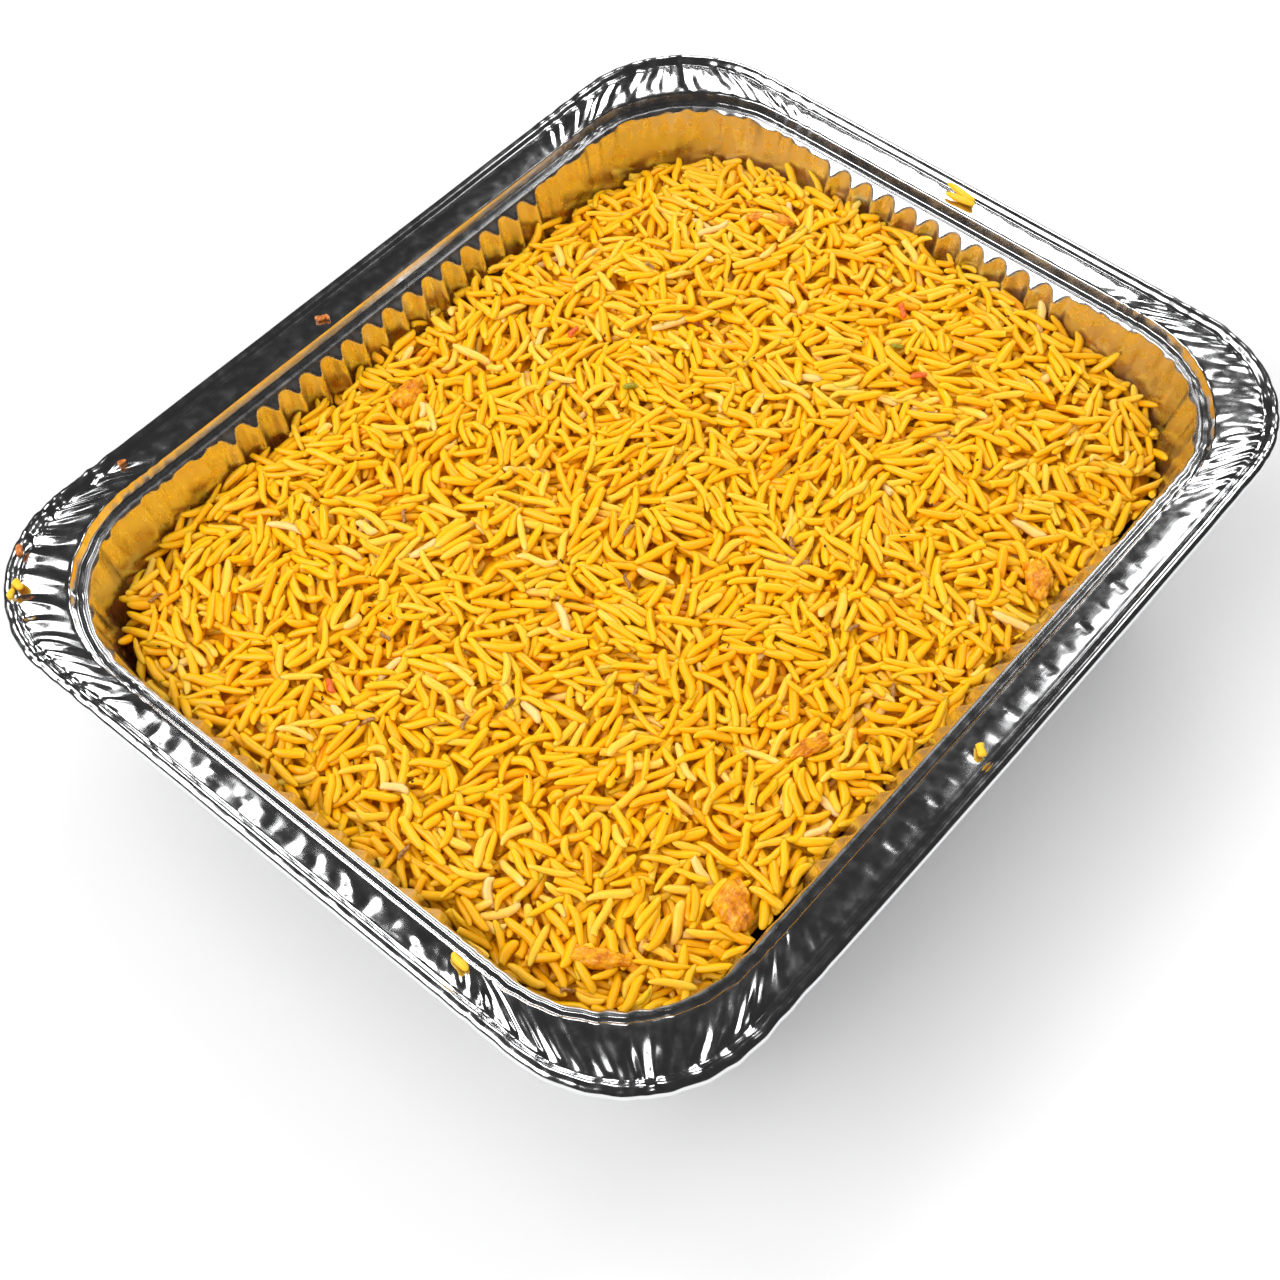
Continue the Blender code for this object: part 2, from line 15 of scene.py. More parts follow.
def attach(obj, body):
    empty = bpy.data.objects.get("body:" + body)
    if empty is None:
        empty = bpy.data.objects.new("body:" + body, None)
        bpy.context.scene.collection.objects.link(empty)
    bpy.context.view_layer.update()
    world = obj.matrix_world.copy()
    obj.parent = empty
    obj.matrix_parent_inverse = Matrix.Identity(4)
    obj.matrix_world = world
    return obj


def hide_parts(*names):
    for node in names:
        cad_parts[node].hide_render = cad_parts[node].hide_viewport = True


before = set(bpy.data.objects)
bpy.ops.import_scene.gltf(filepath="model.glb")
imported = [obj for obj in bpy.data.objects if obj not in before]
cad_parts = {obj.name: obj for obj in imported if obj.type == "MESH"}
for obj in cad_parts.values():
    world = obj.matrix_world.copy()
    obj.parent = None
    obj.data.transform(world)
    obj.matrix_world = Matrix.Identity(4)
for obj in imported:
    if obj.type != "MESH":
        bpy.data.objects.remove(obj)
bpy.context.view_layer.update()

# Tray, outside
LENGTH, WIDTH, HEIGHT = 0.324, 0.264, 0.065
CORNER_R = 0.045
FOIL = 0.0002
FRONT_BOW = 0.0007

# Rim, as insets from the outer edge and heights
BEAD_R = 0.0021
GROOVE_IN = 0.0048
GROOVE_DEPTH = 0.0003
SHEETS_MEET_IN = 0.0160
FLANGE_IN, STEP_IN = 0.0058, 0.0127
LEDGE_OUT_IN, LEDGE_IN = 0.0140, 0.0174
LEDGE_ROUND = 0.0008
FLANGE_Z = HEIGHT - 0.0006
LEDGE_Z = FLANGE_Z - 0.0030

# Inner outline: its corner radius, and how far it lies in on the long sides and off the middle
INNER_R = 0.047
LONG_SIDE_IN = 0.0013
OFF_MIDDLE = -0.0006

CROWN = 0.00065
EDGE_WOBBLE = 0.00026

# Dents in the flange on the right, back, left and front: depth, half width in flutes, place and
# half height across the flange
DENTS = ((0.00024, 0.34, 0.50, 0.36), (0.00007, 0.25, 0.35, 0.3), (0.00034, 0.22, 0.70, 0.36),
         (0.00016, 0.15, 0.62, 0.27))
COIN_DEPTH = 0.00028

# Wrinkles of the foil. Folds have a spacing and a height; ripples have a spacing round the tray, one
# up or across the foil, and a height.
WALL_FOLDS, WALL_CREASES, WALL_LINES = (0.0046, 0.00050), (0.0085, 0.00055), (0.0021, 0.00015)
WALL_RIPPLES, FLUTE_RIPPLES = (0.0040, 0.021, 0.00030), (0.004, 0.006, 0.00005)
FLOOR_BUCKLES = (0.03, 0.03, 0.00015)
PLEATS, FINE_PLEATS, INNER_PLEATS = (0.0040, 0.00060), (0.0025, 0.00030), (0.0041, 0.00020)
RIM_RIPPLES, RIM_WAVES = (0.0024, 0.30, 0.00012), (0.016, 0.6, 0.00010)
LEFT_RIPPLES = (0.0042, 0.45, 0.00036)
BEAD_NICKS, BEAD_WAVES = (0.0052, 0.00024), (0.02, 0.002, 0.00006)
EDGE_FOLD_STEP = 0.0036
STEEP_LEFT, STEEP_RIGHT = 1.5, 0.72

# Walls, floor and flutes
DRAFT = 0.255
BASE_CORNER_R = 0.029
FOOT_Z = 0.006
FOOT_ROUND = 0.0042
FLUTE_LOW_Z = 0.0065
FLUTE_TOP_Z = LEDGE_Z - 0.0008
FLUTE_DEPTH = 0.0026
FLUTE_SHARP = 2.0
FLUTE_PITCH = (0.0089, 0.0090)
FLUTE_COUNT = (11, 16)
STRAIGHT = (WIDTH / 2 - CORNER_R, LENGTH / 2 - CORNER_R)
FLUTE_END = tuple(p * n / 2 for p, n in zip(FLUTE_PITCH, FLUTE_COUNT))
PLAIN_STEP = 0.0013
PAN_STEPS = (12, 68)
RIM_STEPS = (7, 96)

# Rice level, as in the solid model
RICE_MID = 0.0535
SIDE_DROP = {"right": 0.0008, "back": 0.0045, "left": 0.0050, "front": 0.0045}
CORNER_DROP = {(1, 1): 0.0165, (-1, 1): 0.0075, (-1, -1): 0.0060, (1, -1): 0.0190}
HEAP_HALF = (0.139, 0.109)
RICE_EDGE_Z = 0.045
SWELL = 0.0011
SWELL_LENGTHS = (0.083, 0.061)

# Loose grains over the core
CORE_DEPTH = 0.0046
CORE_GAP = 0.0006
CORE_BUMPS = (0.006, 0.004, 0.0012)
CORE_EDGE_Z = 0.043
CORE_FOOT_IN = 0.0065
GRAINS = 10500
DROP_HALF = (0.141, 0.111)
DROP_TRIES, TURN_TRIES = 6, 3
WALL_CLIMB, GRAIN_HIGHEST = 0.0012, 0.0024
WALL_CLEAR, WRINKLE = 0.0004, 0.0005
GRAIN_TOP, CLUMPS = 0.0014, 0.0006
GRAIN_LENGTH, GRAIN_SPREAD = 0.0122, 0.0017
GRAIN_SHORTEST, GRAIN_LONGEST = 0.0080, 0.0158
GRAIN_RADIUS = 0.00144
GRAIN_FLAT = 0.80
GRAIN_SINK = 0.00125
GRAIN_BEND, GRAIN_SWAY, GRAIN_ARCH = 0.00085, 0.00036, 0.00026
BROKEN_SHARE, BLUNT_SHARE, PALE_SHARE, STRAY_SHARE = 0.09, 0.30, 0.03, 0.35
BROKEN_LENGTH = 0.55
TURN_SPREAD = 0.75
MAP_STEP = 0.0005
MAP_HALF = (0.146, 0.117)
PER_PIECE = 2300

# Fried onion, as in the solid model: place, length, width, thickness, turn in degrees
ONIONS = {
    "onion_1": (-0.0880, -0.0985, 0.0170, 0.0110, 0.0062, 50),
    "onion_2": (-0.1225, -0.0815, 0.0170, 0.0062, 0.0052, -60),
    "onion_3": (-0.0165, 0.0890, 0.0140, 0.0085, 0.0056, 4),
    "onion_4": (0.0515, -0.1000, 0.0160, 0.0090, 0.0056, 42),
    "onion_5": (-0.0380, -0.0855, 0.0135, 0.0058, 0.0046, -18),
    "onion_6": (0.1165, 0.0500, 0.0170, 0.0058, 0.0048, -63),
}
ONION_RISE = 0.18

# Cumin seeds, pepper and specks of spice: place and turn in degrees
SEED = (0.0050, 0.00072)
SEEDS = (
    (-0.1340, -0.0230, 5), (-0.1340, -0.0810, -15), (-0.0950, -0.0090, 40), (-0.0820, -0.0140, 0),
    (-0.0560, -0.0380, 10), (-0.0290, -0.0115, 45), (-0.0155, -0.0005, -5), (0.0130, -0.0390, 60),
    (0.0005, -0.0710, -5), (-0.0070, -0.0910, 35), (-0.1185, 0.0930, -20), (-0.0525, 0.0555, 30),
    (-0.0875, 0.0290, 70), (-0.1105, 0.0125, -35), (0.0720, 0.0650, 60), (0.0735, -0.0485, 50),
)
RED_BITS = ((-0.1095, 0.0290, 70), (0.1090, -0.0090, 40), (0.0350, 0.0655, 20), (0.0900, -0.0290, -40))
GREEN_BITS = ((0.0960, -0.0165, -25), (0.0280, 0.0360, -30))
BIT = (0.0056, 0.0011)
SPECKS = 60
SPECK_RADIUS = 0.00036

# Grains and seeds that fell on the rim: place, turn in degrees, length and radius
RIM_GRAINS = (
    (-0.1469, 0.1136, 70, 0.0042, 0.0013), (-0.1502, 0.1127, 40, 0.0034, 0.0011),
    (0.1557, 0.0030, 84, 0.0118, 0.0015), (0.1529, 0.0014, 98, 0.0108, 0.0015),
    (-0.1516, -0.0612, 76, 0.0064, 0.0014), (-0.0162, -0.1248, 25, 0.0044, 0.0016),
)
RIM_SEEDS = (
    (-0.0188, 0.1218, -55, 0.0048, 0.0011), (-0.1386, 0.1228, 60, 0.0042, 0.0012),
    (-0.0980, 0.1252, 10, 0.0030, 0.0009),
)

# Camera, as the photograph was taken
CAMERA_AT = (-0.2953, -0.2407, 0.5302)
CAMERA_TO = (-0.0470, -0.0315, 0.0635)
CAMERA_ROLL = 0.0037
CAMERA_LENS = 57.57

# Light: softboxes by azimuth from +X, elevation, distance, size and power, and the room's three greys
SOFTBOXES = (
    ("key", 155, 44, 2.6, (1.95, 1.55), 37.0),
    ("far", 27, 33.5, 2.6, (0.95, 0.62), 12.0),
    ("pleat", 98, 50, 2.6, (0.9, 0.9), 8.5),
    ("side", -11, 47, 2.6, (0.6, 0.8), 5.0),
)
ROOM_GLOW = (1.03, 1.03, 1.04)
ROOM_DIM = (0.030, 0.029, 0.029)
BACKDROP = (0.86, 0.86, 0.86)


def columns(flute_steps, arc_steps):
    """Places round the outline, anticlockwise: side, distance along it, turn round its corner.

    Each side has even steps within its flutes and wider ones past them, and each corner has even
    turns from 0 to 1. The distance round is measured on the outer edge.
    """
    side, along, turn, arc = [], [], [], []
    for k in range(4):
        end, straight = FLUTE_END[k % 2], STRAIGHT[k % 2]
        fluted = np.linspace(-end, end, FLUTE_COUNT[k % 2] * flute_steps + 1)
        plain = np.linspace(end, straight, round((straight - end) / PLAIN_STEP) + 1)[1:-1]
        marks = np.concatenate([-plain[::-1], fluted, plain])
        turns = np.linspace(0, 1, arc_steps + 1)
        side += [np.full(len(marks) + len(turns), k)]
        along += [marks, np.full(len(turns), straight)]
        turn += [np.zeros(len(marks)), turns]
        arc += [np.zeros(len(marks), bool), np.ones(len(turns), bool)]
    cols = {"side": np.concatenate(side), "along": np.concatenate(along),
            "turn": np.concatenate(turn), "arc": np.concatenate(arc)}
    angle = (cols["side"] + cols["turn"]) * math.pi / 2
    cols["normal"] = np.stack([np.cos(angle), np.sin(angle)])
    edge = place(cols, np.zeros((1, 1)), np.full((1, 1), CORNER_R), np.zeros((1, 1)))[0]
    step = np.linalg.norm(np.diff(edge, axis=0, append=edge[:1]), axis=1)
    cols["round"] = np.concatenate([[0.0], np.cumsum(step)[:-1]])
    cols["whole"] = step.sum()
    cols["corner"] = corner_share(cols)
    return cols


def corner_share(cols):
    """1 on the corners, easing to 0 along the straight sides beside them."""
    end = np.array(STRAIGHT)[cols["side"] % 2]
    away = np.where(cols["arc"], 0.0, end - np.abs(cols["along"]))
    return 1.0 - ease((away - 0.006) / 0.034)


def ease(x):
    """0 below 0, 1 above 1, and an even S between."""
    x = np.clip(x, 0.0, 1.0)
    return x * x * (3.0 - 2.0 * x)


def place(cols, inset, radius, z):
    """Points of a rounded rectangle for each row: inset, corner radius and height are rows by one.

    A side's point is its normal times the half size plus its tangent times the distance along; a
    corner's is its centre plus the radius times its normal. The front bows out a little at the edge,
    and from the flange inwards the long sides lie further in and all of it a little off the middle.
    """
    k, odd = cols["side"], cols["side"] % 2
    pressed = pressed_share(inset)
    half = np.stack([np.broadcast_to(LENGTH / 2 - inset, (len(inset), len(k))),
                     np.broadcast_to(WIDTH / 2 - inset - LONG_SIDE_IN * pressed, (len(inset), len(k)))])
    facing = np.stack([np.cos(k * math.pi / 2), np.sin(k * math.pi / 2)])
    tangent = np.stack([-facing[1], facing[0]])
    reach = np.where(odd == 1, half[1], half[0])
    straight = np.where(odd == 1, half[0], half[1]) - radius
    end = np.array(FLUTE_END)[odd]
    full = np.array(STRAIGHT)[odd]
    past = np.maximum(np.abs(cols["along"]) - end, 0.0) * (straight - end) / (full - end)
    run = np.sign(cols["along"]) * (np.minimum(np.abs(cols["along"]), end) + past)
    middle = (k + 0.5) * math.pi / 2
    x = np.where(cols["arc"], np.sign(np.cos(middle)) * (half[0] - radius) + radius * cols["normal"][0],
                 facing[0] * reach + tangent[0] * run)
    y = np.where(cols["arc"], np.sign(np.sin(middle)) * (half[1] - radius) + radius * cols["normal"][1],
                 facing[1] * reach + tangent[1] * run)
    bow = np.where((k == 3) & ~cols["arc"], 1.0 - (x / (half[0] - radius)) ** 2, 0.0)
    y = y - FRONT_BOW * np.maximum(bow, 0.0) * (1 - pressed)
    return np.stack([x + OFF_MIDDLE * pressed, y, np.broadcast_to(z, x.shape)], axis=-1)


def pressed_share(inset):
    """0 on the outer edge, 1 from the flange's inner edge inwards, and even between."""
    return np.clip((inset - FLANGE_IN) / (STEP_IN - FLANGE_IN), 0.0, 1.0)


def rim_radius(inset):
    """Radius of the rim's corners at an inset: the inner edge is rounder than the outer one."""
    inner = INNER_R - (LEDGE_IN - STEP_IN)
    return np.interp(inset, (0.0, FLANGE_IN, STEP_IN, LEDGE_IN),
                     (CORNER_R, CORNER_R - FLANGE_IN, INNER_R, inner))


def wall_inset(z):
    """Inset of the wall's inner face at a height, where it has no flute."""
    return LEDGE_IN + (LEDGE_Z - z) * DRAFT


def wall_radius(z):
    """Radius of the wall's corners at a height."""
    return BASE_CORNER_R + (rim_radius(LEDGE_IN) - BASE_CORNER_R) * z / LEDGE_Z


def ripples(cols, around, across, step_around, step_across, height, seed):
    """Smooth random relief: random heights on a coarse net, eased between its knots."""
    rng = np.random.default_rng(seed)
    n = max(round(cols["whole"] / step_around), 3)
    b = (across - across.min()) / step_across
    lattice = rng.uniform(-1, 1, (int(b.max()) + 3, n))
    a = around / cols["whole"] * n
    i, j = np.floor(a).astype(int), np.floor(b).astype(int)
    fa, fb = ease(a - i), ease(b - j)
    low = lattice[j, i % n] * (1 - fa) + lattice[j, (i + 1) % n] * fa
    high = lattice[j + 1, i % n] * (1 - fa) + lattice[j + 1, (i + 1) % n] * fa
    return (low * (1 - fb) + high * fb) * height


def folds(cols, around, step, height, seed):
    """Sharp folds: heights of turning sign at uneven places, joined by straight slopes."""
    rng = np.random.default_rng(seed)
    n = 2 * round(cols["whole"] / step / 2)
    places = np.cumsum(rng.uniform(0.45, 1.55, n))
    places *= cols["whole"] / places[-1]
    heights = rng.uniform(0.15, 1.0, n) * np.where(np.arange(n) % 2, 1.0, -1.0)
    return np.interp(around, places, heights, period=cols["whole"]) * height


def flute_phase(cols):
    """Place within a flute, from -0.5 to 0.5 with its recess at 0, and whether there is a flute."""
    end = np.array(FLUTE_END)[cols["side"] % 2]
    pitch = np.array(FLUTE_PITCH)[cols["side"] % 2]
    phase = (cols["along"] + end) / pitch % 1.0
    phase = np.where(phase > 0.5, phase - 1.0, phase)
    fluted = ~cols["arc"] & (np.abs(cols["along"]) < end)
    return phase, fluted


def grid_faces(rows, cols, first=0):
    """Quads of a grid that closes on itself round its columns, facing out."""
    i, j = np.meshgrid(np.arange(rows - 1), np.arange(cols), indexing="ij")
    a, b = i * cols + j, i * cols + (j + 1) % cols
    quads = np.stack([a, a + cols, b + cols, b], axis=-1).reshape(-1, 4)
    return quads + first


def make_mesh(name, points, faces, triangles=None):
    """A smooth-shaded object from an array of points and arrays of quads and triangles."""
    mesh = bpy.data.meshes.new(name)
    triangles = np.empty((0, 3), int) if triangles is None else triangles
    loops = np.concatenate([faces.ravel(), triangles.ravel()]).astype(np.int32)
    sizes = np.concatenate([np.full(len(faces), 4), np.full(len(triangles), 3)])
    mesh.vertices.add(len(points))
    mesh.vertices.foreach_set("co", np.ascontiguousarray(points, np.float32).ravel())
    mesh.loops.add(len(loops))
    mesh.loops.foreach_set("vertex_index", loops)
    mesh.polygons.add(len(sizes))
    mesh.polygons.foreach_set("loop_start", (np.cumsum(sizes) - sizes).astype(np.int32))
    mesh.update(calc_edges=True)
    mesh.validate()
    mesh.shade_smooth()
    obj = bpy.data.objects.new(name, mesh)
    bpy.context.scene.collection.objects.link(obj)
    return obj


def thicken(obj):
    """Give a sheet its foil, below and outside the surface that was worked out."""
    solid = obj.modifiers.new("foil", "SOLIDIFY")
    solid.thickness = FOIL
    solid.offset = -1.0
    solid.use_rim = True
    return obj


def pan_section():
    """Rows of the pan from its floor's middle to the ledge: inset, height, corner radius, kind."""
    floor_in = wall_inset(FOOT_Z) + FOOT_ROUND
    rows = [(WIDTH / 2 - (WIDTH / 2 - floor_in) * share, FOIL, BASE_CORNER_R * share, 0.0)
            for share in (0.03, 0.35, 0.7, 0.93)]
    for turn in (0.0, 0.33, 0.66):
        angle = turn * math.pi / 2
        z = FOIL + (FOOT_Z - FOIL) * (1 - math.cos(angle))
        rows.append((floor_in - FOOT_ROUND * math.sin(angle), z, wall_radius(z), 0.0))
    heights = np.concatenate([np.linspace(FOOT_Z, 0.011, 5), np.linspace(0.0155, 0.054, 10),
                              np.linspace(0.0562, FLUTE_TOP_Z, 9)])
    rows += [(wall_inset(z), z, wall_radius(z), 1.0) for z in heights]
    for angle in np.radians((18, 36, 54, 72, 90)):
        z = LEDGE_Z - LEDGE_ROUND * (1 - math.sin(angle))
        inset = LEDGE_IN - LEDGE_ROUND * (1 - math.cos(angle))
        rows.append((inset, z, rim_radius(inset), 0.3))
    rows.append((SHEETS_MEET_IN, LEDGE_Z, rim_radius(SHEETS_MEET_IN), 0.0))
    return np.array(rows)


def pan_points(cols):
    """The pan: floor, flutes that stand in from the wall, and the drawn wrinkles of smooth foil.

    A flute is a rounded wave along the wall, cut off by slopes of 45 degrees at its top and foot.
    Wrinkles are upright ripples and folds that grow towards the corners and towards the rim.
    """
    section = pan_section()
    inset, z, radius, wall = (section[:, i:i + 1] for i in range(4))
    points = place(cols, inset, radius, z)
    phase, fluted = flute_phase(cols)
    wave = FLUTE_DEPTH * (0.5 - 0.5 * np.cos(2 * math.pi * phase)) ** FLUTE_SHARP * fluted
    room = np.minimum(np.maximum(FLUTE_TOP_Z - z, 0.0), np.maximum(z - FLUTE_LOW_Z, 0.0))
    push = np.minimum(wave[None], room * wall)
    smooth = ~fluted * ease((z - 0.004) / 0.02)
    lean = cols["round"][None] + 0.06 * (z - LEDGE_Z)
    near_top = np.exp((z - LEDGE_Z) / 0.014)
    back = cols["round"][None] - 0.11 * (z - LEDGE_Z)
    around = cols["round"][None] + 0 * z
    drawn = ripples(cols, lean, z + 0 * lean, *WALL_RIPPLES, 3)
    drawn += folds(cols, lean, *WALL_FOLDS, 4) * (0.25 + 0.75 * cols["corner"]) * near_top
    drawn += folds(cols, back, *WALL_CREASES, 9)
    drawn += folds(cols, lean, *WALL_LINES, 12) * (0.3 + 0.7 * cols["corner"])
    quiet = ripples(cols, around, z + 0 * lean, *FLUTE_RIPPLES, 6)
    push = push + wall * (smooth * drawn * (0.35 + 0.65 * z / LEDGE_Z) + fluted * quiet)
    edge = folds(cols, around, EDGE_FOLD_STEP, EDGE_WOBBLE, 27) * cols["corner"]
    push = push + edge * ease((z - LEDGE_Z + 0.002) / 0.002)
    points[..., :2] -= push[..., None] * cols["normal"].T[None]
    buckle = ripples(cols, around, inset + 0 * lean, *FLOOR_BUCKLES, 8)
    points[..., 2] += np.where(z <= FOIL, np.abs(buckle), 0.0)
    return points


def rim_section():
    """Rows of the rim from ledge to bead: inset, height, share across the flange, share of pleats."""
    rows = [(SHEETS_MEET_IN, LEDGE_Z, 0.0, 0.0), (SHEETS_MEET_IN - 0.0005, LEDGE_Z, 0.0, 0.25),
            (SHEETS_MEET_IN - 0.0011, LEDGE_Z, 0.0, 0.35)]
    foot, top = 0.00035, 0.00045
    for angle in np.radians((0, 45, 85)):
        inset = LEDGE_OUT_IN + foot * (1 - math.sin(angle))
        rows.append((inset, LEDGE_Z + foot * (1 - math.cos(angle)), 0.0, 0.4))
    rows.append(((LEDGE_OUT_IN + STEP_IN) / 2, (LEDGE_Z + FLANGE_Z) / 2, 0.0, 0.5))
    for angle in np.radians((5, 45, 90)):
        inset = STEP_IN + top * (math.cos(angle) - 0.5)
        rows.append((inset, FLANGE_Z - top * (1 - math.sin(angle)), 0.0, 0.9))
    for share in np.linspace(0.08, 1.0, 12):
        inset = STEP_IN + (FLANGE_IN - STEP_IN) * share - top / 2 * (1 - share)
        rows.append((inset, FLANGE_Z - CROWN * share ** 3, share, 1.0))
    rows.append((GROOVE_IN + 0.0004, FLANGE_Z - CROWN - GROOVE_DEPTH * 2 / 3, 1.0, 0.8))
    rows.append((GROOVE_IN, FLANGE_Z - CROWN - GROOVE_DEPTH, 1.0, 0.6))
    for angle in np.radians(np.linspace(150, -205, 17)):
        rows.append((BEAD_R * (1 - math.cos(angle)), HEIGHT - BEAD_R * (1 - math.sin(angle)), 1.0, 0.35))
    return np.array(rows)


def rim_points(cols):
    """The rim: a flat flange with pleats gathered at the corners, soft dents in step with the
    flutes, and a bead whose surface follows the pleats.

    Pleats are folds that run across the flange; the two edges of the flange have heights of their
    own, and each row is a mix of them by its share across.
    """
    section = rim_section()
    inset, z, share, pleated = (section[:, i:i + 1] for i in range(4))
    points = place(cols, inset, rim_radius(inset), z)
    around = cols["round"][None] + 0 * z
    across = share + 0 * around
    gather = cols["corner"][None]
    bent = around + 0.0030 * across ** 2 * np.sin(around / 0.011) * gather
    steep = np.where((cols["side"] == 1) | (cols["side"] == 2), STEEP_LEFT, STEEP_RIGHT)[None]
    lift = folds(cols, bent, *PLEATS, 22) * across ** 1.2 * gather * steep
    lift += folds(cols, bent + 0.0012 * across, *FINE_PLEATS, 28) * across * gather * steep
    lift += folds(cols, bent, *INNER_PLEATS, 21) * (1 - across) * gather
    lift += ripples(cols, around, across, *RIM_RIPPLES, 23) * (gather + 0.05)
    lift += ripples(cols, around, across, *RIM_WAVES, 24)
    left = (cols["side"] == 2) & ~cols["arc"]
    lift += left * ripples(cols, around, across, *LEFT_RIPPLES, 29) * ease(across * 1.6)
    lift -= flange_dents(cols, across)
    points[..., 2] += lift * pleated
    edge = folds(cols, around, EDGE_FOLD_STEP, EDGE_WOBBLE, 27) * gather
    nick = folds(cols, around, *BEAD_NICKS, 25) * gather
    nick += ripples(cols, around, z + 0 * around, *BEAD_WAVES, 26)
    push = np.where(inset < GROOVE_IN, nick, edge * (1 - across))
    points[..., :2] -= push[..., None] * cols["normal"].T[None]
    return points


def flange_dents(cols, across):
    """Depth of the soft dents that the flutes draw in the flange, one for each flute.

    A dent is a bell in the distance from its middle, counted in its half width and half height, and
    leans a little. Every other dent on the front is flat inside with a steep edge, like a coin.
    """
    phase, fluted = flute_phase(cols)
    depth, narrow, middle, tall = (np.array(values)[cols["side"]] for values in zip(*DENTS))
    lean = 0.10 * (across - middle)
    oval = np.sqrt(((phase + lean) / narrow) ** 2 + ((across - middle) / tall) ** 2)
    number = np.floor((cols["along"] + np.array(FLUTE_END)[cols["side"] % 2]) / FLUTE_PITCH[1] + 0.5)
    coin = (cols["side"] == 3) & (number % 2 == 0)
    shape = np.where(coin, COIN_DEPTH * (1 - ease((oval - 0.7) / 0.4)), depth * np.exp(-oval ** 2.4))
    return fluted * shape


def foil_pieces():
    """The pan and the rim, each one sheet of foil with its thickness, meeting on the ledge."""
    pan = pan_points(columns(*PAN_STEPS))
    rows, count = pan.shape[:2]
    points = np.concatenate([[[0, 0, pan[0, :, 2].mean()]], pan.reshape(-1, 3)])
    ring = np.arange(count)
    fan = np.stack([np.zeros(count, int), 1 + ring, 1 + (ring + 1) % count], axis=-1)
    pan_piece = make_mesh("tray_pan", points, grid_faces(rows, count, 1), fan)
    rim = rim_points(columns(*RIM_STEPS))
    rim_piece = make_mesh("tray_rim", rim.reshape(-1, 3), grid_faces(*rim.shape[:2]))
    return [thicken(pan_piece), thicken(rim_piece)]


def rice_level(x, y):
    """Height of the heap at a place, without its bumps."""
    u, v = x / HEAP_HALF[0], y / HEAP_HALF[1]
    z = RICE_MID - np.where(u > 0, SIDE_DROP["right"], SIDE_DROP["left"]) * np.abs(u) ** 4
    z = z - np.where(v > 0, SIDE_DROP["back"], SIDE_DROP["front"]) * np.abs(v) ** 4
    for (east, north), drop in CORNER_DROP.items():
        here = (np.sign(u + 1e-9) == east) & (np.sign(v + 1e-9) == north)
        z = z - here * drop * np.abs(u * v) ** 3
    swell = np.cos(2 * math.pi * x / SWELL_LENGTHS[0] + 0.6) * np.cos(2 * math.pi * y / SWELL_LENGTHS[1])
    return z + SWELL * swell


def past_wall(x, y, z):
    """Distance past the wall's inner face at a height, with its flutes, and the way out of the tray.

    It is the distance from a rounded rectangle, plus the flutes' wave on the sides that have them and
    a little for the wrinkles elsewhere.
    """
    radius = wall_radius(z)
    half_x = LENGTH / 2 - wall_inset(z)
    half_y = WIDTH / 2 - wall_inset(z) - LONG_SIDE_IN
    east = x - OFF_MIDDLE
    qx, qy = np.abs(east) - (half_x - radius), np.abs(y) - (half_y - radius)
    away = np.maximum(np.hypot(np.maximum(qx, 0), np.maximum(qy, 0)), 1e-9)
    distance = np.where((qx > 0) | (qy > 0), away, np.maximum(qx, qy)) - radius
    long_side = qy > qx
    along = np.abs(np.where(long_side, east, y))
    pitch = np.where(long_side, FLUTE_PITCH[1], FLUTE_PITCH[0])
    end = np.where(long_side, FLUTE_END[1], FLUTE_END[0])
    phase = (along + end) / pitch % 1.0
    wave = FLUTE_DEPTH * (0.5 - 0.5 * np.cos(2 * math.pi * phase)) ** FLUTE_SHARP
    distance = distance + np.where(along < end, wave, WRINKLE)
    corner = (qx > 0) & (qy > 0)
    way_x = np.sign(east) * np.where(corner, qx / away, ~long_side)
    way_y = np.sign(y) * np.where(corner, qy / away, long_side)
    return distance, way_x, way_y


def wall_height(x, y):
    """Height of the inner wall over a place: the wall's slope turned round to give z."""
    return RICE_EDGE_Z + past_wall(x, y, RICE_EDGE_Z)[0] / DRAFT


def press_in(points):
    """Points of loose grains, with those at the wall pushed back to just inside it."""
    distance, way_x, way_y = past_wall(points[..., 0], points[..., 1], points[..., 2])
    push = np.maximum(distance + WALL_CLEAR, 0.0)
    return points - np.stack([way_x * push, way_y * push, 0 * push], axis=-1)


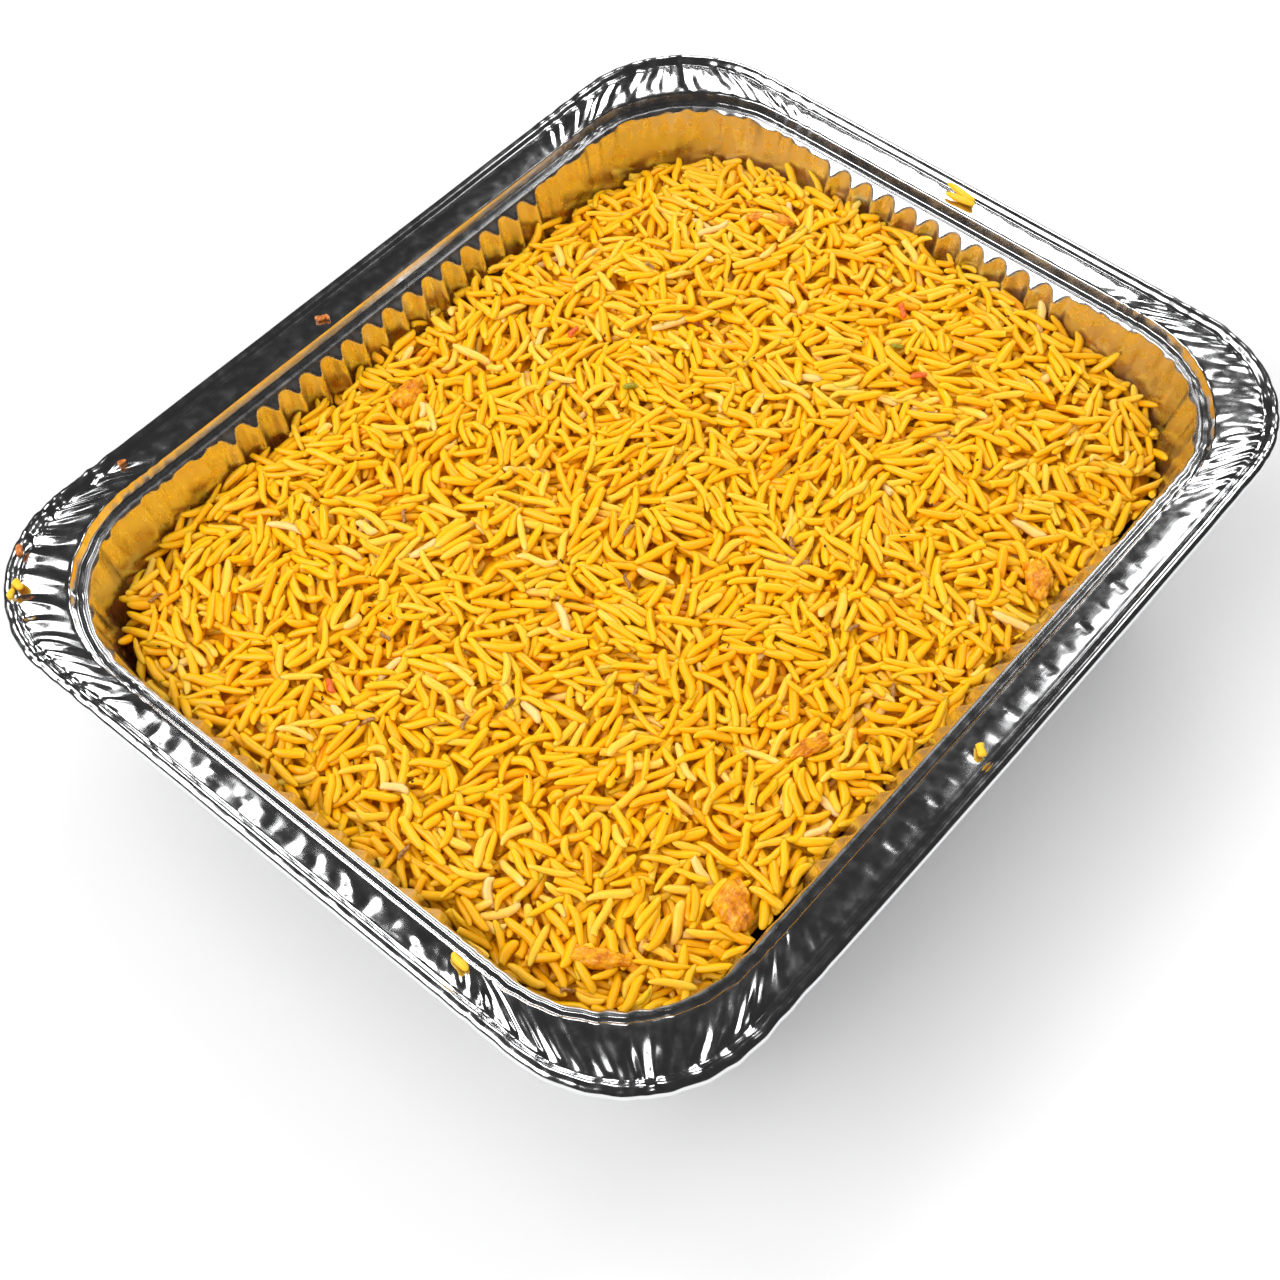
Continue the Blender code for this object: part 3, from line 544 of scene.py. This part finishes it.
class HeightMap:
    """Heights over a square net of places, onto which grains are laid one by one."""

    def __init__(self):
        self.xs = np.arange(-MAP_HALF[0], MAP_HALF[0], MAP_STEP)
        self.ys = np.arange(-MAP_HALF[1], MAP_HALF[1], MAP_STEP)
        x, y = np.meshgrid(self.xs, self.ys, indexing="ij")
        clumps = np.sin(210 * x + 60 * y + 1.0) * np.sin(190 * y - 70 * x) + 0.7 * np.sin(340 * x - 150 * y)
        self.goal = rice_level(x, y) - GRAIN_TOP + CLUMPS * clumps
        self.wall = wall_height(x, y)
        self.z = np.maximum(self.goal - CORE_DEPTH, np.minimum(self.wall, 0.062))

    def cell(self, x, y):
        """Indices of the places nearest to some points, kept inside the net."""
        i = np.clip(((x + MAP_HALF[0]) / MAP_STEP).round().astype(int), 0, len(self.xs) - 1)
        j = np.clip(((y + MAP_HALF[1]) / MAP_STEP).round().astype(int), 0, len(self.ys) - 1)
        return i, j

    def rest(self, x, y, yaw, length, radius, limit=0.75):
        """Height and slope at which a straight grain comes to rest on what lies below it."""
        t = REST_SHARES * length / 2
        r = radius * REST_TAPER
        c, s = math.cos(yaw), math.sin(yaw)
        px = x + t[:, None] * c - REST_SIDES[None] * r[:, None] * s
        py = y + t[:, None] * s + REST_SIDES[None] * r[:, None] * c
        need = self.z[self.cell(px, py)] + r[:, None] * np.sqrt(1 - REST_SIDES[None] ** 2)
        need = need.max(axis=1)
        left, right = slice(0, REST_MIDDLE), slice(REST_MIDDLE + 1, None)
        tl, tr = t[left][:, None], t[right][None]
        zl, zr = need[left][:, None], need[right][None]
        over = (zl * tr - zr * tl) / (tr - tl)
        best = np.unravel_index(over.argmax(), over.shape)
        slope = (zr - zl)[best] / (tr - tl)[best]
        slope = min(max(slope, -limit), limit)
        return (need - slope * t).max(), slope

    def lay(self, x, y, z, yaw, slope, length, radius, bend=0.0):
        """Raise the net to the top of a grain that lies on it."""
        reach = int((length / 2 + abs(bend)) / MAP_STEP) + 2
        i, j = self.cell(np.array(x), np.array(y))
        i0, i1 = max(i - reach, 0), min(i + reach + 1, len(self.xs))
        j0, j1 = max(j - reach, 0), min(j + reach + 1, len(self.ys))
        dx, dy = self.xs[i0:i1, None] - x, self.ys[None, j0:j1] - y
        c, s = math.cos(yaw), math.sin(yaw)
        t = dx * c + dy * s
        u = np.clip(2 * t / length, -1, 1)
        o = -dx * s + dy * c - bend * (0.66 - u ** 2)
        r = radius * taper(u)
        top = z + slope * t + np.sqrt(np.maximum(r ** 2 - o ** 2, 0)) * GRAIN_FLAT
        block = self.z[i0:i1, j0:j1]
        np.maximum(block, np.where(np.abs(o) < r, top, -1.0), out=block)


def taper(u):
    """Share of a grain's radius at a share of its half length: almost even, with rounded ends."""
    return np.sqrt(np.maximum(1 - np.abs(u) ** 3.6, 0.0))


REST_SHARES = np.linspace(-0.9, 0.9, 9)
REST_MIDDLE = 4
REST_TAPER = taper(REST_SHARES)
REST_SIDES = np.array([-0.6, 0.0, 0.6])


def drift(x, y):
    """Direction in which grains tend to lie at a place: an angle that turns slowly over the heap."""
    turn = 1.9 * np.sin(31 * x + 17 * y) + 1.6 * np.sin(47 * y - 22 * x + 1.3) + 1.2 * np.sin(68 * x + 2.1)
    return turn + 0.9 * np.sin(83 * y + 40 * x)


def drop_grain(heights, rng):
    """Lay one grain at the lowest of a few random places, the way round that lets it lie lowest."""
    x = rng.uniform(-DROP_HALF[0], DROP_HALF[0], DROP_TRIES)
    y = rng.uniform(-DROP_HALF[1], DROP_HALF[1], DROP_TRIES)
    cell = heights.cell(x, y)
    lack = heights.goal[cell] - heights.z[cell]
    lack[heights.wall[cell] > heights.goal[cell] + WALL_CLIMB] = -1.0
    best = lack.argmax()
    x, y, goal = x[best], y[best], heights.goal[cell][best]
    length = np.clip(rng.normal(GRAIN_LENGTH, GRAIN_SPREAD), GRAIN_SHORTEST, GRAIN_LONGEST)
    if rng.random() < BROKEN_SHARE:
        length *= BROKEN_LENGTH
    radius = GRAIN_RADIUS * rng.uniform(0.80, 1.18)
    bend = rng.normal(0, GRAIN_BEND)
    yaws = drift(x, y) + rng.normal(0, TURN_SPREAD, TURN_TRIES)
    if rng.random() < STRAY_SHARE:
        yaws = rng.uniform(0, math.pi, TURN_TRIES)
    rests = [heights.rest(x, y, yaw, length, radius) for yaw in yaws]
    pick = min(range(TURN_TRIES), key=lambda i: rests[i][0] + 0.004 * abs(rests[i][1]))
    z, slope = rests[pick][0] - GRAIN_SINK, rests[pick][1]
    if z > goal + GRAIN_HIGHEST:
        return None
    heights.lay(x, y, z, yaws[pick], slope, length, radius, bend)
    return x, y, z, yaws[pick], slope, length, radius, bend


def drop_grains(heights, count, rng):
    """Rows of x, y, z, yaw, slope, length, radius and bend of the grains that found a place."""
    laid = [drop_grain(heights, rng) for _ in range(count)]
    return np.array([row for row in laid if row is not None])


def place_small(heights, places, length, radius):
    """Rows like those of the grains, for small things laid at given places and turns."""
    rows = []
    for x, y, turn in places:
        yaw = math.radians(turn)
        z, slope = heights.rest(x, y, yaw, length, radius)
        rows.append((x, y, z - radius * 0.5, yaw, slope, length, radius, 0.0003))
        heights.lay(x, y, z, yaw, slope, length, radius)
    return np.array(rows)


GRAIN_RINGS = np.array([-0.94, -0.76, -0.42, 0.0, 0.42, 0.76, 0.94])
GRAIN_SIDES = 6


def grain_points(grains, rng):
    """Points of many grains at once, grains by points by three.

    A grain is a bent rod: rings of six points round a centre line that bows and sways sideways and
    arches a little, with a radius that rounds off at both tips. One end is a little thinner, and
    some grains are cut off blunt there.
    """
    n = len(grains)
    x, y, z, yaw, slope, length, radius, bend = (grains[:, i][:, None] for i in range(8))
    flat = 1 / np.sqrt(1 + slope ** 2)
    axis = np.stack([np.cos(yaw) * flat, np.sin(yaw) * flat, slope * flat], axis=-1)
    across = np.stack([-np.sin(yaw), np.cos(yaw), 0 * yaw], axis=-1)
    up = np.cross(axis, across)
    u = np.concatenate([[-1.0], GRAIN_RINGS, [1.0]])[None]
    blunt = rng.random((n, 1)) < BLUNT_SHARE
    stop = np.where(blunt, rng.uniform(0.6, 0.9, (n, 1)), 1.0)
    u = np.where(u > stop, stop, u)
    share = taper(u) * (1 - rng.uniform(0.02, 0.3, (n, 1)) * (u + 1) / 2)
    share[:, 0] = share[:, -1] = 0.0
    sway = bend * (0.66 - u ** 2) + rng.normal(0, GRAIN_SWAY, (n, 1)) * np.sin(math.pi * u)
    rise = rng.normal(0, GRAIN_ARCH, (n, 1)) * (0.66 - u ** 2)
    centre = np.stack([x, y, z], axis=-1) + axis * (u * length / 2)[..., None]
    centre = centre + across * sway[..., None] + up * rise[..., None]
    angle = np.arange(GRAIN_SIDES) * 2 * math.pi / GRAIN_SIDES
    roll = rng.uniform(0, math.pi, (n, 1, 1))
    wide = (radius * share)[..., None] * np.cos(angle + roll)
    high = (radius * share * GRAIN_FLAT)[..., None] * np.sin(angle + roll)
    rings = centre[:, :, None] + across[:, :, None] * wide[..., None] + up[:, :, None] * high[..., None]
    body = rings[:, 1:-1].reshape(n, -1, 3)
    return np.concatenate([centre[:, :1], body, centre[:, -1:]], axis=1)


def spindle_faces(rings, sides):
    """Quads and end triangles of one spindle: a tip, rings of points and another tip."""
    i, j = np.meshgrid(np.arange(rings - 1), np.arange(sides), indexing="ij")
    a, b = 1 + i * sides + j, 1 + i * sides + (j + 1) % sides
    quads = np.stack([a, b, b + sides, a + sides], axis=-1).reshape(-1, 4)
    j = np.arange(sides)
    last = 1 + (rings - 1) * sides
    start = np.stack([np.zeros(sides, int), 1 + (j + 1) % sides, 1 + j], axis=-1)
    end = np.stack([np.full(sides, last + sides), last + j, last + (j + 1) % sides], axis=-1)
    return quads, np.concatenate([start, end])


def repeat_faces(faces, count, points):
    """The faces of one shape, repeated for many copies with their own points."""
    return (faces[None] + np.arange(count)[:, None, None] * points).reshape(-1, faces.shape[1])


def paint(obj, name, values):
    """A number for each point of a mesh, which its material reads."""
    attribute = obj.data.attributes.new(name, "FLOAT", "POINT")
    attribute.data.foreach_set("value", np.ascontiguousarray(values, np.float32).ravel())


def grain_piece(name, grains, rng, shade, in_tray=True):
    """One mesh of many grains, each with its own shade."""
    points = grain_points(grains, rng)
    if in_tray:
        points = press_in(points)
    quads, triangles = spindle_faces(len(GRAIN_RINGS), GRAIN_SIDES)
    count, per = points.shape[:2]
    obj = make_mesh(name, points.reshape(-1, 3), repeat_faces(quads, count, per),
                    repeat_faces(triangles, count, per))
    tip = np.concatenate([[1.0], np.repeat(np.abs(GRAIN_RINGS), GRAIN_SIDES), [1.0]])
    paint(obj, "shade", shade[:, None] + 0.10 * (tip[None] ** 3 - 0.3))
    return obj


def onion_piece(name, seed):
    """A limp piece of fried onion: a flattened lump with a wavy outline, curled edges and fine grain.

    Its radius and its height are those of an ellipsoid, times one plus a sum of sines of the two
    angles; a second sum lifts its rim and wrinkles its face.
    """
    x, y, length, width, thick, turn = ONIONS[name]
    rng = np.random.default_rng(seed)
    rows, cols = 40, 72
    up = np.linspace(-math.pi / 2, math.pi / 2, rows + 2)[1:-1, None]
    round_ = np.linspace(0, 2 * math.pi, cols, endpoint=False)[None]
    starts = rng.uniform(0, 2 * math.pi, 8)
    wave = 0.07 * np.sin(3 * round_ + starts[0]) + 0.06 * np.sin(5 * round_ + starts[1])
    wave = wave + 0.035 * np.sin(9 * round_ + 2 * up + starts[2])
    wave = wave + 0.02 * np.sin(17 * round_ - 5 * up + starts[3])
    reach = np.sign(np.cos(up)) * np.abs(np.cos(up)) ** 0.7 * (0.93 + wave)
    px, py = reach * np.cos(round_), reach * np.sin(round_)
    face = 0.10 * np.sin(9 * px + 4 * py + starts[4]) + 0.08 * np.sin(15 * py - 6 * px + starts[5])
    face = face + 0.05 * np.sin(27 * px + 19 * py + starts[6]) + 0.04 * np.sin(38 * py - 25 * px + starts[7])
    curl = 0.30 * (px ** 2 - 0.4 * py ** 2) * np.sin(starts[1])
    pz = 0.72 * np.sin(up) + face * np.cos(up) ** 0.5 + curl
    spin = math.radians(turn)
    lx, ly, lz = px * length / 2, py * width / 2, pz * thick / 2
    points = np.stack([x + lx * math.cos(spin) - ly * math.sin(spin),
                       y + lx * math.sin(spin) + ly * math.cos(spin),
                       rice_level(x, y) + ONION_RISE * thick + lz], axis=-1)
    ends = np.array([[x, y, points[0, :, 2].mean()], [x, y, points[-1, :, 2].mean()]])
    ring = np.arange(cols)
    last = 1 + (rows - 1) * cols
    start = np.stack([np.zeros(cols, int), 1 + (ring + 1) % cols, 1 + ring], axis=-1)
    end = np.stack([np.full(cols, last + cols), last + ring, last + (ring + 1) % cols], axis=-1)
    quads = grid_faces(rows, cols, 1)[:, ::-1]
    points = np.concatenate([ends[:1], points.reshape(-1, 3), ends[1:]])
    return make_mesh(name + "_piece", points, quads, np.concatenate([start, end]))


def onion_tops(heights):
    """Raise the net of heights to the onion pieces, so that later grains lie on and beside them."""
    x, y = np.meshgrid(heights.xs, heights.ys, indexing="ij")
    for ox, oy, length, width, thick, turn in ONIONS.values():
        spin = math.radians(turn)
        a = ((x - ox) * math.cos(spin) + (y - oy) * math.sin(spin)) / (length / 2)
        b = (-(x - ox) * math.sin(spin) + (y - oy) * math.cos(spin)) / (width / 2)
        dome = np.sqrt(np.maximum(1 - a ** 2 - b ** 2, 0)) * thick / 2 * 0.8
        top = rice_level(ox, oy) + ONION_RISE * thick + dome
        np.maximum(heights.z, np.where(dome > 0, top, 0), out=heights.z)


def core_piece(cols):
    """The heap under the loose grains: rings from the middle out to the wall, then down to the floor."""
    shares = np.concatenate([np.linspace(0.02, 0.94, 34), [0.97, 1.0]])[:, None]
    inset = wall_inset(CORE_EDGE_Z) + FLUTE_DEPTH + CORE_GAP
    edge = place(cols, np.full((1, 1), inset), np.full((1, 1), wall_radius(CORE_EDGE_Z)),
                 np.full((1, 1), CORE_EDGE_Z))[0]
    top = edge[None] * shares[..., None]
    around = cols["round"][None] + 0 * shares
    bumps = ripples(cols, around, 0.12 * shares + 0 * around, *CORE_BUMPS, 41)
    top[..., 2] = rice_level(top[..., 0], top[..., 1]) - CORE_DEPTH - CORE_GAP
    top[..., 2] += bumps * np.minimum(1, (1 - shares) * 20)
    insets = np.array([[wall_inset(FOOT_Z) + FLUTE_DEPTH + CORE_GAP], [wall_inset(0.0) + CORE_FOOT_IN]])
    low = place(cols, insets, np.full((2, 1), BASE_CORNER_R),
                np.array([[FOOT_Z + 0.0008], [FOIL + CORE_GAP]]))
    rings = np.concatenate([top, low])
    rows, count = rings.shape[:2]
    middle = [[0, 0, top[0, :, 2].mean()]]
    bottom = [[0, 0, FOIL + CORE_GAP]]
    points = np.concatenate([middle, rings.reshape(-1, 3), bottom])
    ring = np.arange(count)
    fan = np.stack([np.zeros(count, int), 1 + ring, 1 + (ring + 1) % count], axis=-1)
    last = 1 + (rows - 1) * count
    base = np.stack([np.full(count, len(points) - 1), last + (ring + 1) % count, last + ring], axis=-1)
    obj = make_mesh("rice_core", points, grid_faces(rows, count, 1), np.concatenate([fan, base]))
    # The core takes the deepest orange of the grains' colours: painted shade for the gaps where it shows
    # between the loose grains.
    paint(obj, "shade", np.full(len(points), 0.05))
    return obj


def every_nth(cols, n):
    """The same outline with fewer columns."""
    return {key: value[..., ::n] if isinstance(value, np.ndarray) else value
            for key, value in cols.items()}


def new_material(name, colour, roughness, metallic=0.0):
    """A Principled material, with its node tree, shader and Object coordinates."""
    material = bpy.data.materials.new(name)
    material.use_nodes = True
    tree = material.node_tree
    shader = tree.nodes["Principled BSDF"]
    shader.inputs["Base Color"].default_value = (*colour, 1.0)
    shader.inputs["Roughness"].default_value = roughness
    shader.inputs["Metallic"].default_value = metallic
    place_node = tree.nodes.new("ShaderNodeTexCoord")
    return material, tree, shader, place_node.outputs["Object"]


def stretched(tree, vector, scale):
    """Coordinates stretched by a scale along each axis."""
    node = tree.nodes.new("ShaderNodeMapping")
    node.inputs["Scale"].default_value = scale
    tree.links.new(vector, node.inputs["Vector"])
    return node.outputs["Vector"]


def noise(tree, vector, scale, detail=2.0, roughness=0.5):
    """A noise pattern of a scale in features per metre."""
    node = tree.nodes.new("ShaderNodeTexNoise")
    node.inputs["Scale"].default_value = scale
    node.inputs["Detail"].default_value = detail
    node.inputs["Roughness"].default_value = roughness
    tree.links.new(vector, node.inputs["Vector"])
    return node.outputs["Fac"]


def ramp(tree, value, stops):
    """Colours along a value, as (place, colour) stops."""
    node = tree.nodes.new("ShaderNodeValToRGB")
    while len(node.color_ramp.elements) < len(stops):
        node.color_ramp.elements.new(0.5)
    for element, (place_at, colour) in zip(node.color_ramp.elements, stops):
        element.position = place_at
        element.color = (*colour, 1.0)
    tree.links.new(value, node.inputs["Fac"])
    return node.outputs["Color"]


def spread(tree, value, low, high):
    """A pattern's middle range, carried over to another range of numbers."""
    node = tree.nodes.new("ShaderNodeMapRange")
    node.inputs["From Min"].default_value = 0.3
    node.inputs["From Max"].default_value = 0.7
    node.inputs["To Min"].default_value = low
    node.inputs["To Max"].default_value = high
    tree.links.new(value, node.inputs["Value"])
    return node.outputs["Result"]


def emboss(tree, shader, height, strength, distance):
    """Relief too fine for the mesh."""
    node = tree.nodes.new("ShaderNodeBump")
    node.inputs["Strength"].default_value = strength
    node.inputs["Distance"].default_value = distance
    tree.links.new(height, node.inputs["Height"])
    tree.links.new(node.outputs["Normal"], shader.inputs["Normal"])


def foil_material(name, gloss):
    """Bright rolled foil: faint rolling lines along the tray and a slightly uneven gloss."""
    material, tree, shader, vector = new_material(name, (0.86, 0.865, 0.875), gloss[0], 1.0)
    lines = noise(tree, stretched(tree, vector, (18.0, 900.0, 900.0)), 1.0, 3.0)
    cloud = noise(tree, vector, 260.0, 3.0)
    tree.links.new(spread(tree, cloud, *gloss), shader.inputs["Roughness"])
    emboss(tree, shader, lines, 0.25, 0.00004)
    return material


def rice_material():
    """Cooked saffron rice: golden yellow that varies from grain to grain, soft inside and moist outside."""
    material, tree, shader, vector = new_material("saffron_grain", (0.9, 0.44, 0.01), 0.31)
    shade = tree.nodes.new("ShaderNodeAttribute")
    shade.attribute_name = "shade"
    cloud = noise(tree, vector, 420.0, 2.0)
    blend = tree.nodes.new("ShaderNodeMath")
    blend.operation = "MULTIPLY_ADD"
    blend.inputs[1].default_value = 0.22
    tree.links.new(cloud, blend.inputs[0])
    tree.links.new(shade.outputs["Fac"], blend.inputs[2])
    colour = ramp(tree, blend.outputs["Value"], [
        (0.0, (0.98, 0.36, 0.0)), (0.30, (0.98, 0.42, 0.0)), (0.60, (0.96, 0.47, 0.002)),
        (0.85, (0.94, 0.54, 0.05)), (1.0, (0.88, 0.56, 0.20))])
    tree.links.new(colour, shader.inputs["Base Color"])
    shader.inputs["Specular IOR Level"].default_value = 0.4
    shader.inputs["Subsurface Weight"].default_value = 0.6
    shader.inputs["Subsurface Radius"].default_value = (1.0, 0.8, 0.25)
    shader.inputs["Subsurface Scale"].default_value = 0.0026
    emboss(tree, shader, noise(tree, vector, 900.0, 2.0), 0.2, 0.0001)
    return material


def onion_material():
    """Fried onion: amber to deep orange in patches, wet, with the light going a little way in."""
    material, tree, shader, vector = new_material("fried_onion", (0.75, 0.28, 0.01), 0.25)
    colour = ramp(tree, noise(tree, vector, 330.0, 5.0, 0.7), [
        (0.30, (0.34, 0.08, 0.0)), (0.45, (0.62, 0.20, 0.0)), (0.58, (0.80, 0.34, 0.001)),
        (0.72, (0.90, 0.50, 0.005))])
    tree.links.new(colour, shader.inputs["Base Color"])
    shader.inputs["Subsurface Weight"].default_value = 0.4
    shader.inputs["Subsurface Radius"].default_value = (1.0, 0.30, 0.03)
    shader.inputs["Subsurface Scale"].default_value = 0.0012
    emboss(tree, shader, noise(tree, vector, 1500.0, 4.0), 0.5, 0.0002)
    return material


def spice_material(name, dark, light, roughness):
    """Dry spice in two shades of one colour, with fine relief."""
    material, tree, shader, vector = new_material(name, light, roughness)
    tree.links.new(ramp(tree, noise(tree, vector, 1400.0, 3.0), [(0.35, dark), (0.65, light)]),
                   shader.inputs["Base Color"])
    emboss(tree, shader, noise(tree, vector, 2400.0, 2.0), 0.4, 0.0001)
    return material


def dress(obj, material, node):
    """Give a finished piece its material, hang it on the root body, and hide the solid part that it stands
    for.
    """
    obj.data.materials.clear()
    obj.data.materials.append(material)
    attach(obj, "root")
    if node:
        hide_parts(node)


def add_camera():
    """The photograph's camera."""
    data = bpy.data.cameras.new("camera")
    data.lens = CAMERA_LENS
    data.sensor_width = 36.0
    data.clip_end = 20.0
    camera = bpy.data.objects.new("camera", data)
    bpy.context.scene.collection.objects.link(camera)
    look = Vector(CAMERA_TO) - Vector(CAMERA_AT)
    turn = look.to_track_quat("-Z", "Y").to_matrix().to_4x4() @ Matrix.Rotation(CAMERA_ROLL, 4, "Z")
    camera.matrix_world = Matrix.Translation(CAMERA_AT) @ turn
    bpy.context.scene.camera = camera


def add_softbox(name, azimuth, elevation, distance, size, power):
    """An area light that looks at the tray from a direction, counted from +X and up."""
    a, e = math.radians(azimuth), math.radians(elevation)
    back = Vector((math.cos(a) * math.cos(e), math.sin(a) * math.cos(e), math.sin(e)))
    data = bpy.data.lights.new(name, "AREA")
    data.shape = "RECTANGLE"
    data.size, data.size_y = size
    data.energy = power
    light = bpy.data.objects.new(name, data)
    light.location = Vector((0, 0, HEIGHT)) + back * distance
    light.rotation_euler = back.to_track_quat("Z", "Y").to_euler()
    bpy.context.scene.collection.objects.link(light)


def add_studio():
    """A plain pale floor, the softboxes and a dim room with a pale backdrop."""
    size = 3.0
    points = np.array([[-size, -size, 0], [size, -size, 0], [size, size, 0], [-size, size, 0]], float)
    floor = make_mesh("floor", points, np.array([[0, 1, 2, 3]]))
    floor.data.materials.append(new_material("pale_floor", (0.74, 0.74, 0.735), 0.6)[0])
    for name, azimuth, elevation, distance, size, power in SOFTBOXES:
        add_softbox(name, azimuth, elevation, distance, size, power)
    add_room()


def add_room():
    """A pale backdrop for the camera, an even glow on matt things, and a dim room in reflections."""
    world = bpy.data.worlds.new("studio")
    bpy.context.scene.world = world
    world.use_nodes = True
    nodes, links = world.node_tree.nodes, world.node_tree.links
    glow = nodes["Background"]
    glow.inputs["Color"].default_value = (*ROOM_GLOW, 1.0)
    dim = nodes.new("ShaderNodeBackground")
    dim.inputs["Color"].default_value = (*ROOM_DIM, 1.0)
    pale = nodes.new("ShaderNodeBackground")
    pale.inputs["Color"].default_value = (*BACKDROP, 1.0)
    path = nodes.new("ShaderNodeLightPath")
    inner, outer = nodes.new("ShaderNodeMixShader"), nodes.new("ShaderNodeMixShader")
    links.new(path.outputs["Is Glossy Ray"], inner.inputs["Fac"])
    links.new(glow.outputs["Background"], inner.inputs[1])
    links.new(dim.outputs["Background"], inner.inputs[2])
    links.new(path.outputs["Is Camera Ray"], outer.inputs["Fac"])
    links.new(inner.outputs["Shader"], outer.inputs[1])
    links.new(pale.outputs["Background"], outer.inputs[2])
    links.new(outer.outputs["Shader"], nodes["World Output"].inputs["Surface"])
    bpy.context.scene.view_settings.view_transform = "Standard"


def add_foil():
    """The tray's pan and rim."""
    pan, rim = foil_pieces()
    dress(pan, foil_material("drawn_foil", (0.22, 0.36)), "tray")
    dress(rim, foil_material("bright_foil", (0.10, 0.22)), "tray")


def add_rice(rng):
    """The heap: its core, the loose grains over it, and the onion and spice among them."""
    rice = rice_material()
    dress(core_piece(every_nth(columns(*PAN_STEPS), 4)), rice, "rice")
    heights = HeightMap()
    count = GRAINS
    under = drop_grains(heights, round(count * 0.9), rng)
    onion_tops(heights)
    over = drop_grains(heights, round(count * 0.1), rng)
    grains = np.concatenate([under, over])
    shade = np.clip(rng.normal(0.40, 0.17, len(grains)), 0.05, 0.80)
    pale = rng.random(len(grains)) < PALE_SHARE
    shade = np.where(pale, rng.uniform(0.7, 0.95, len(grains)), shade)
    for start in range(0, len(grains), PER_PIECE):
        part = slice(start, start + PER_PIECE)
        piece = grain_piece(f"rice_grains_{start // PER_PIECE + 1}", grains[part], rng, shade[part])
        dress(piece, rice, "rice")
    onion = onion_material()
    for seed, name in enumerate(ONIONS, start=1):
        dress(onion_piece(name, seed), onion, name)
    add_spice(heights, rng)
    return rice


def add_spice(heights, rng):
    """Cumin seeds, bits of red and green pepper, and black specks, laid on the grains."""
    brown = spice_material("cumin_seed", (0.20, 0.07, 0.01), (0.50, 0.24, 0.06), 0.5)
    red = spice_material("red_pepper", (0.55, 0.07, 0.006), (0.85, 0.16, 0.02), 0.3)
    green = spice_material("green_pepper", (0.22, 0.20, 0.006), (0.45, 0.38, 0.02), 0.35)
    black = spice_material("black_speck", (0.008, 0.004, 0.002), (0.03, 0.015, 0.006), 0.6)
    places = np.column_stack([rng.uniform(-0.13, 0.13, SPECKS), rng.uniform(-0.10, 0.10, SPECKS),
                              rng.uniform(0, 180, SPECKS)])
    for name, spots, (length, radius), material in (
            ("cumin_seeds", SEEDS, SEED, brown), ("red_bits", RED_BITS, BIT, red),
            ("green_bits", GREEN_BITS, BIT, green),
            ("black_specks", places, (SPECK_RADIUS * 2.6, SPECK_RADIUS), black)):
        rows = place_small(heights, spots, length, radius)
        dress(grain_piece(name, rows, rng, np.full(len(rows), 0.5)), material, "rice")


def add_rim_grains(rice, rng):
    """The grains and the orange seeds that fell on the rim."""
    seed = spice_material("orange_seed", (0.32, 0.06, 0.006), (0.72, 0.26, 0.05), 0.3)
    for name, spots, material, slot in (("rim_grains", RIM_GRAINS, rice, "rice"),
                                        ("rim_seeds", RIM_SEEDS, seed, "spice")):
        rows = [(x, y, FLANGE_Z + radius * 0.7, math.radians(turn), 0.0, length, radius, 0.0003)
                for x, y, turn, length, radius in spots]
        piece = grain_piece(name, np.array(rows), rng, np.full(len(rows), 0.6), in_tray=False)
        dress(piece, material, None)


def main():
    """Build every piece around the solid model and dress it."""
    add_camera()
    add_studio()
    add_foil()
    rng = np.random.default_rng(7)
    rice = add_rice(rng)
    add_rim_grains(rice, rng)


main()
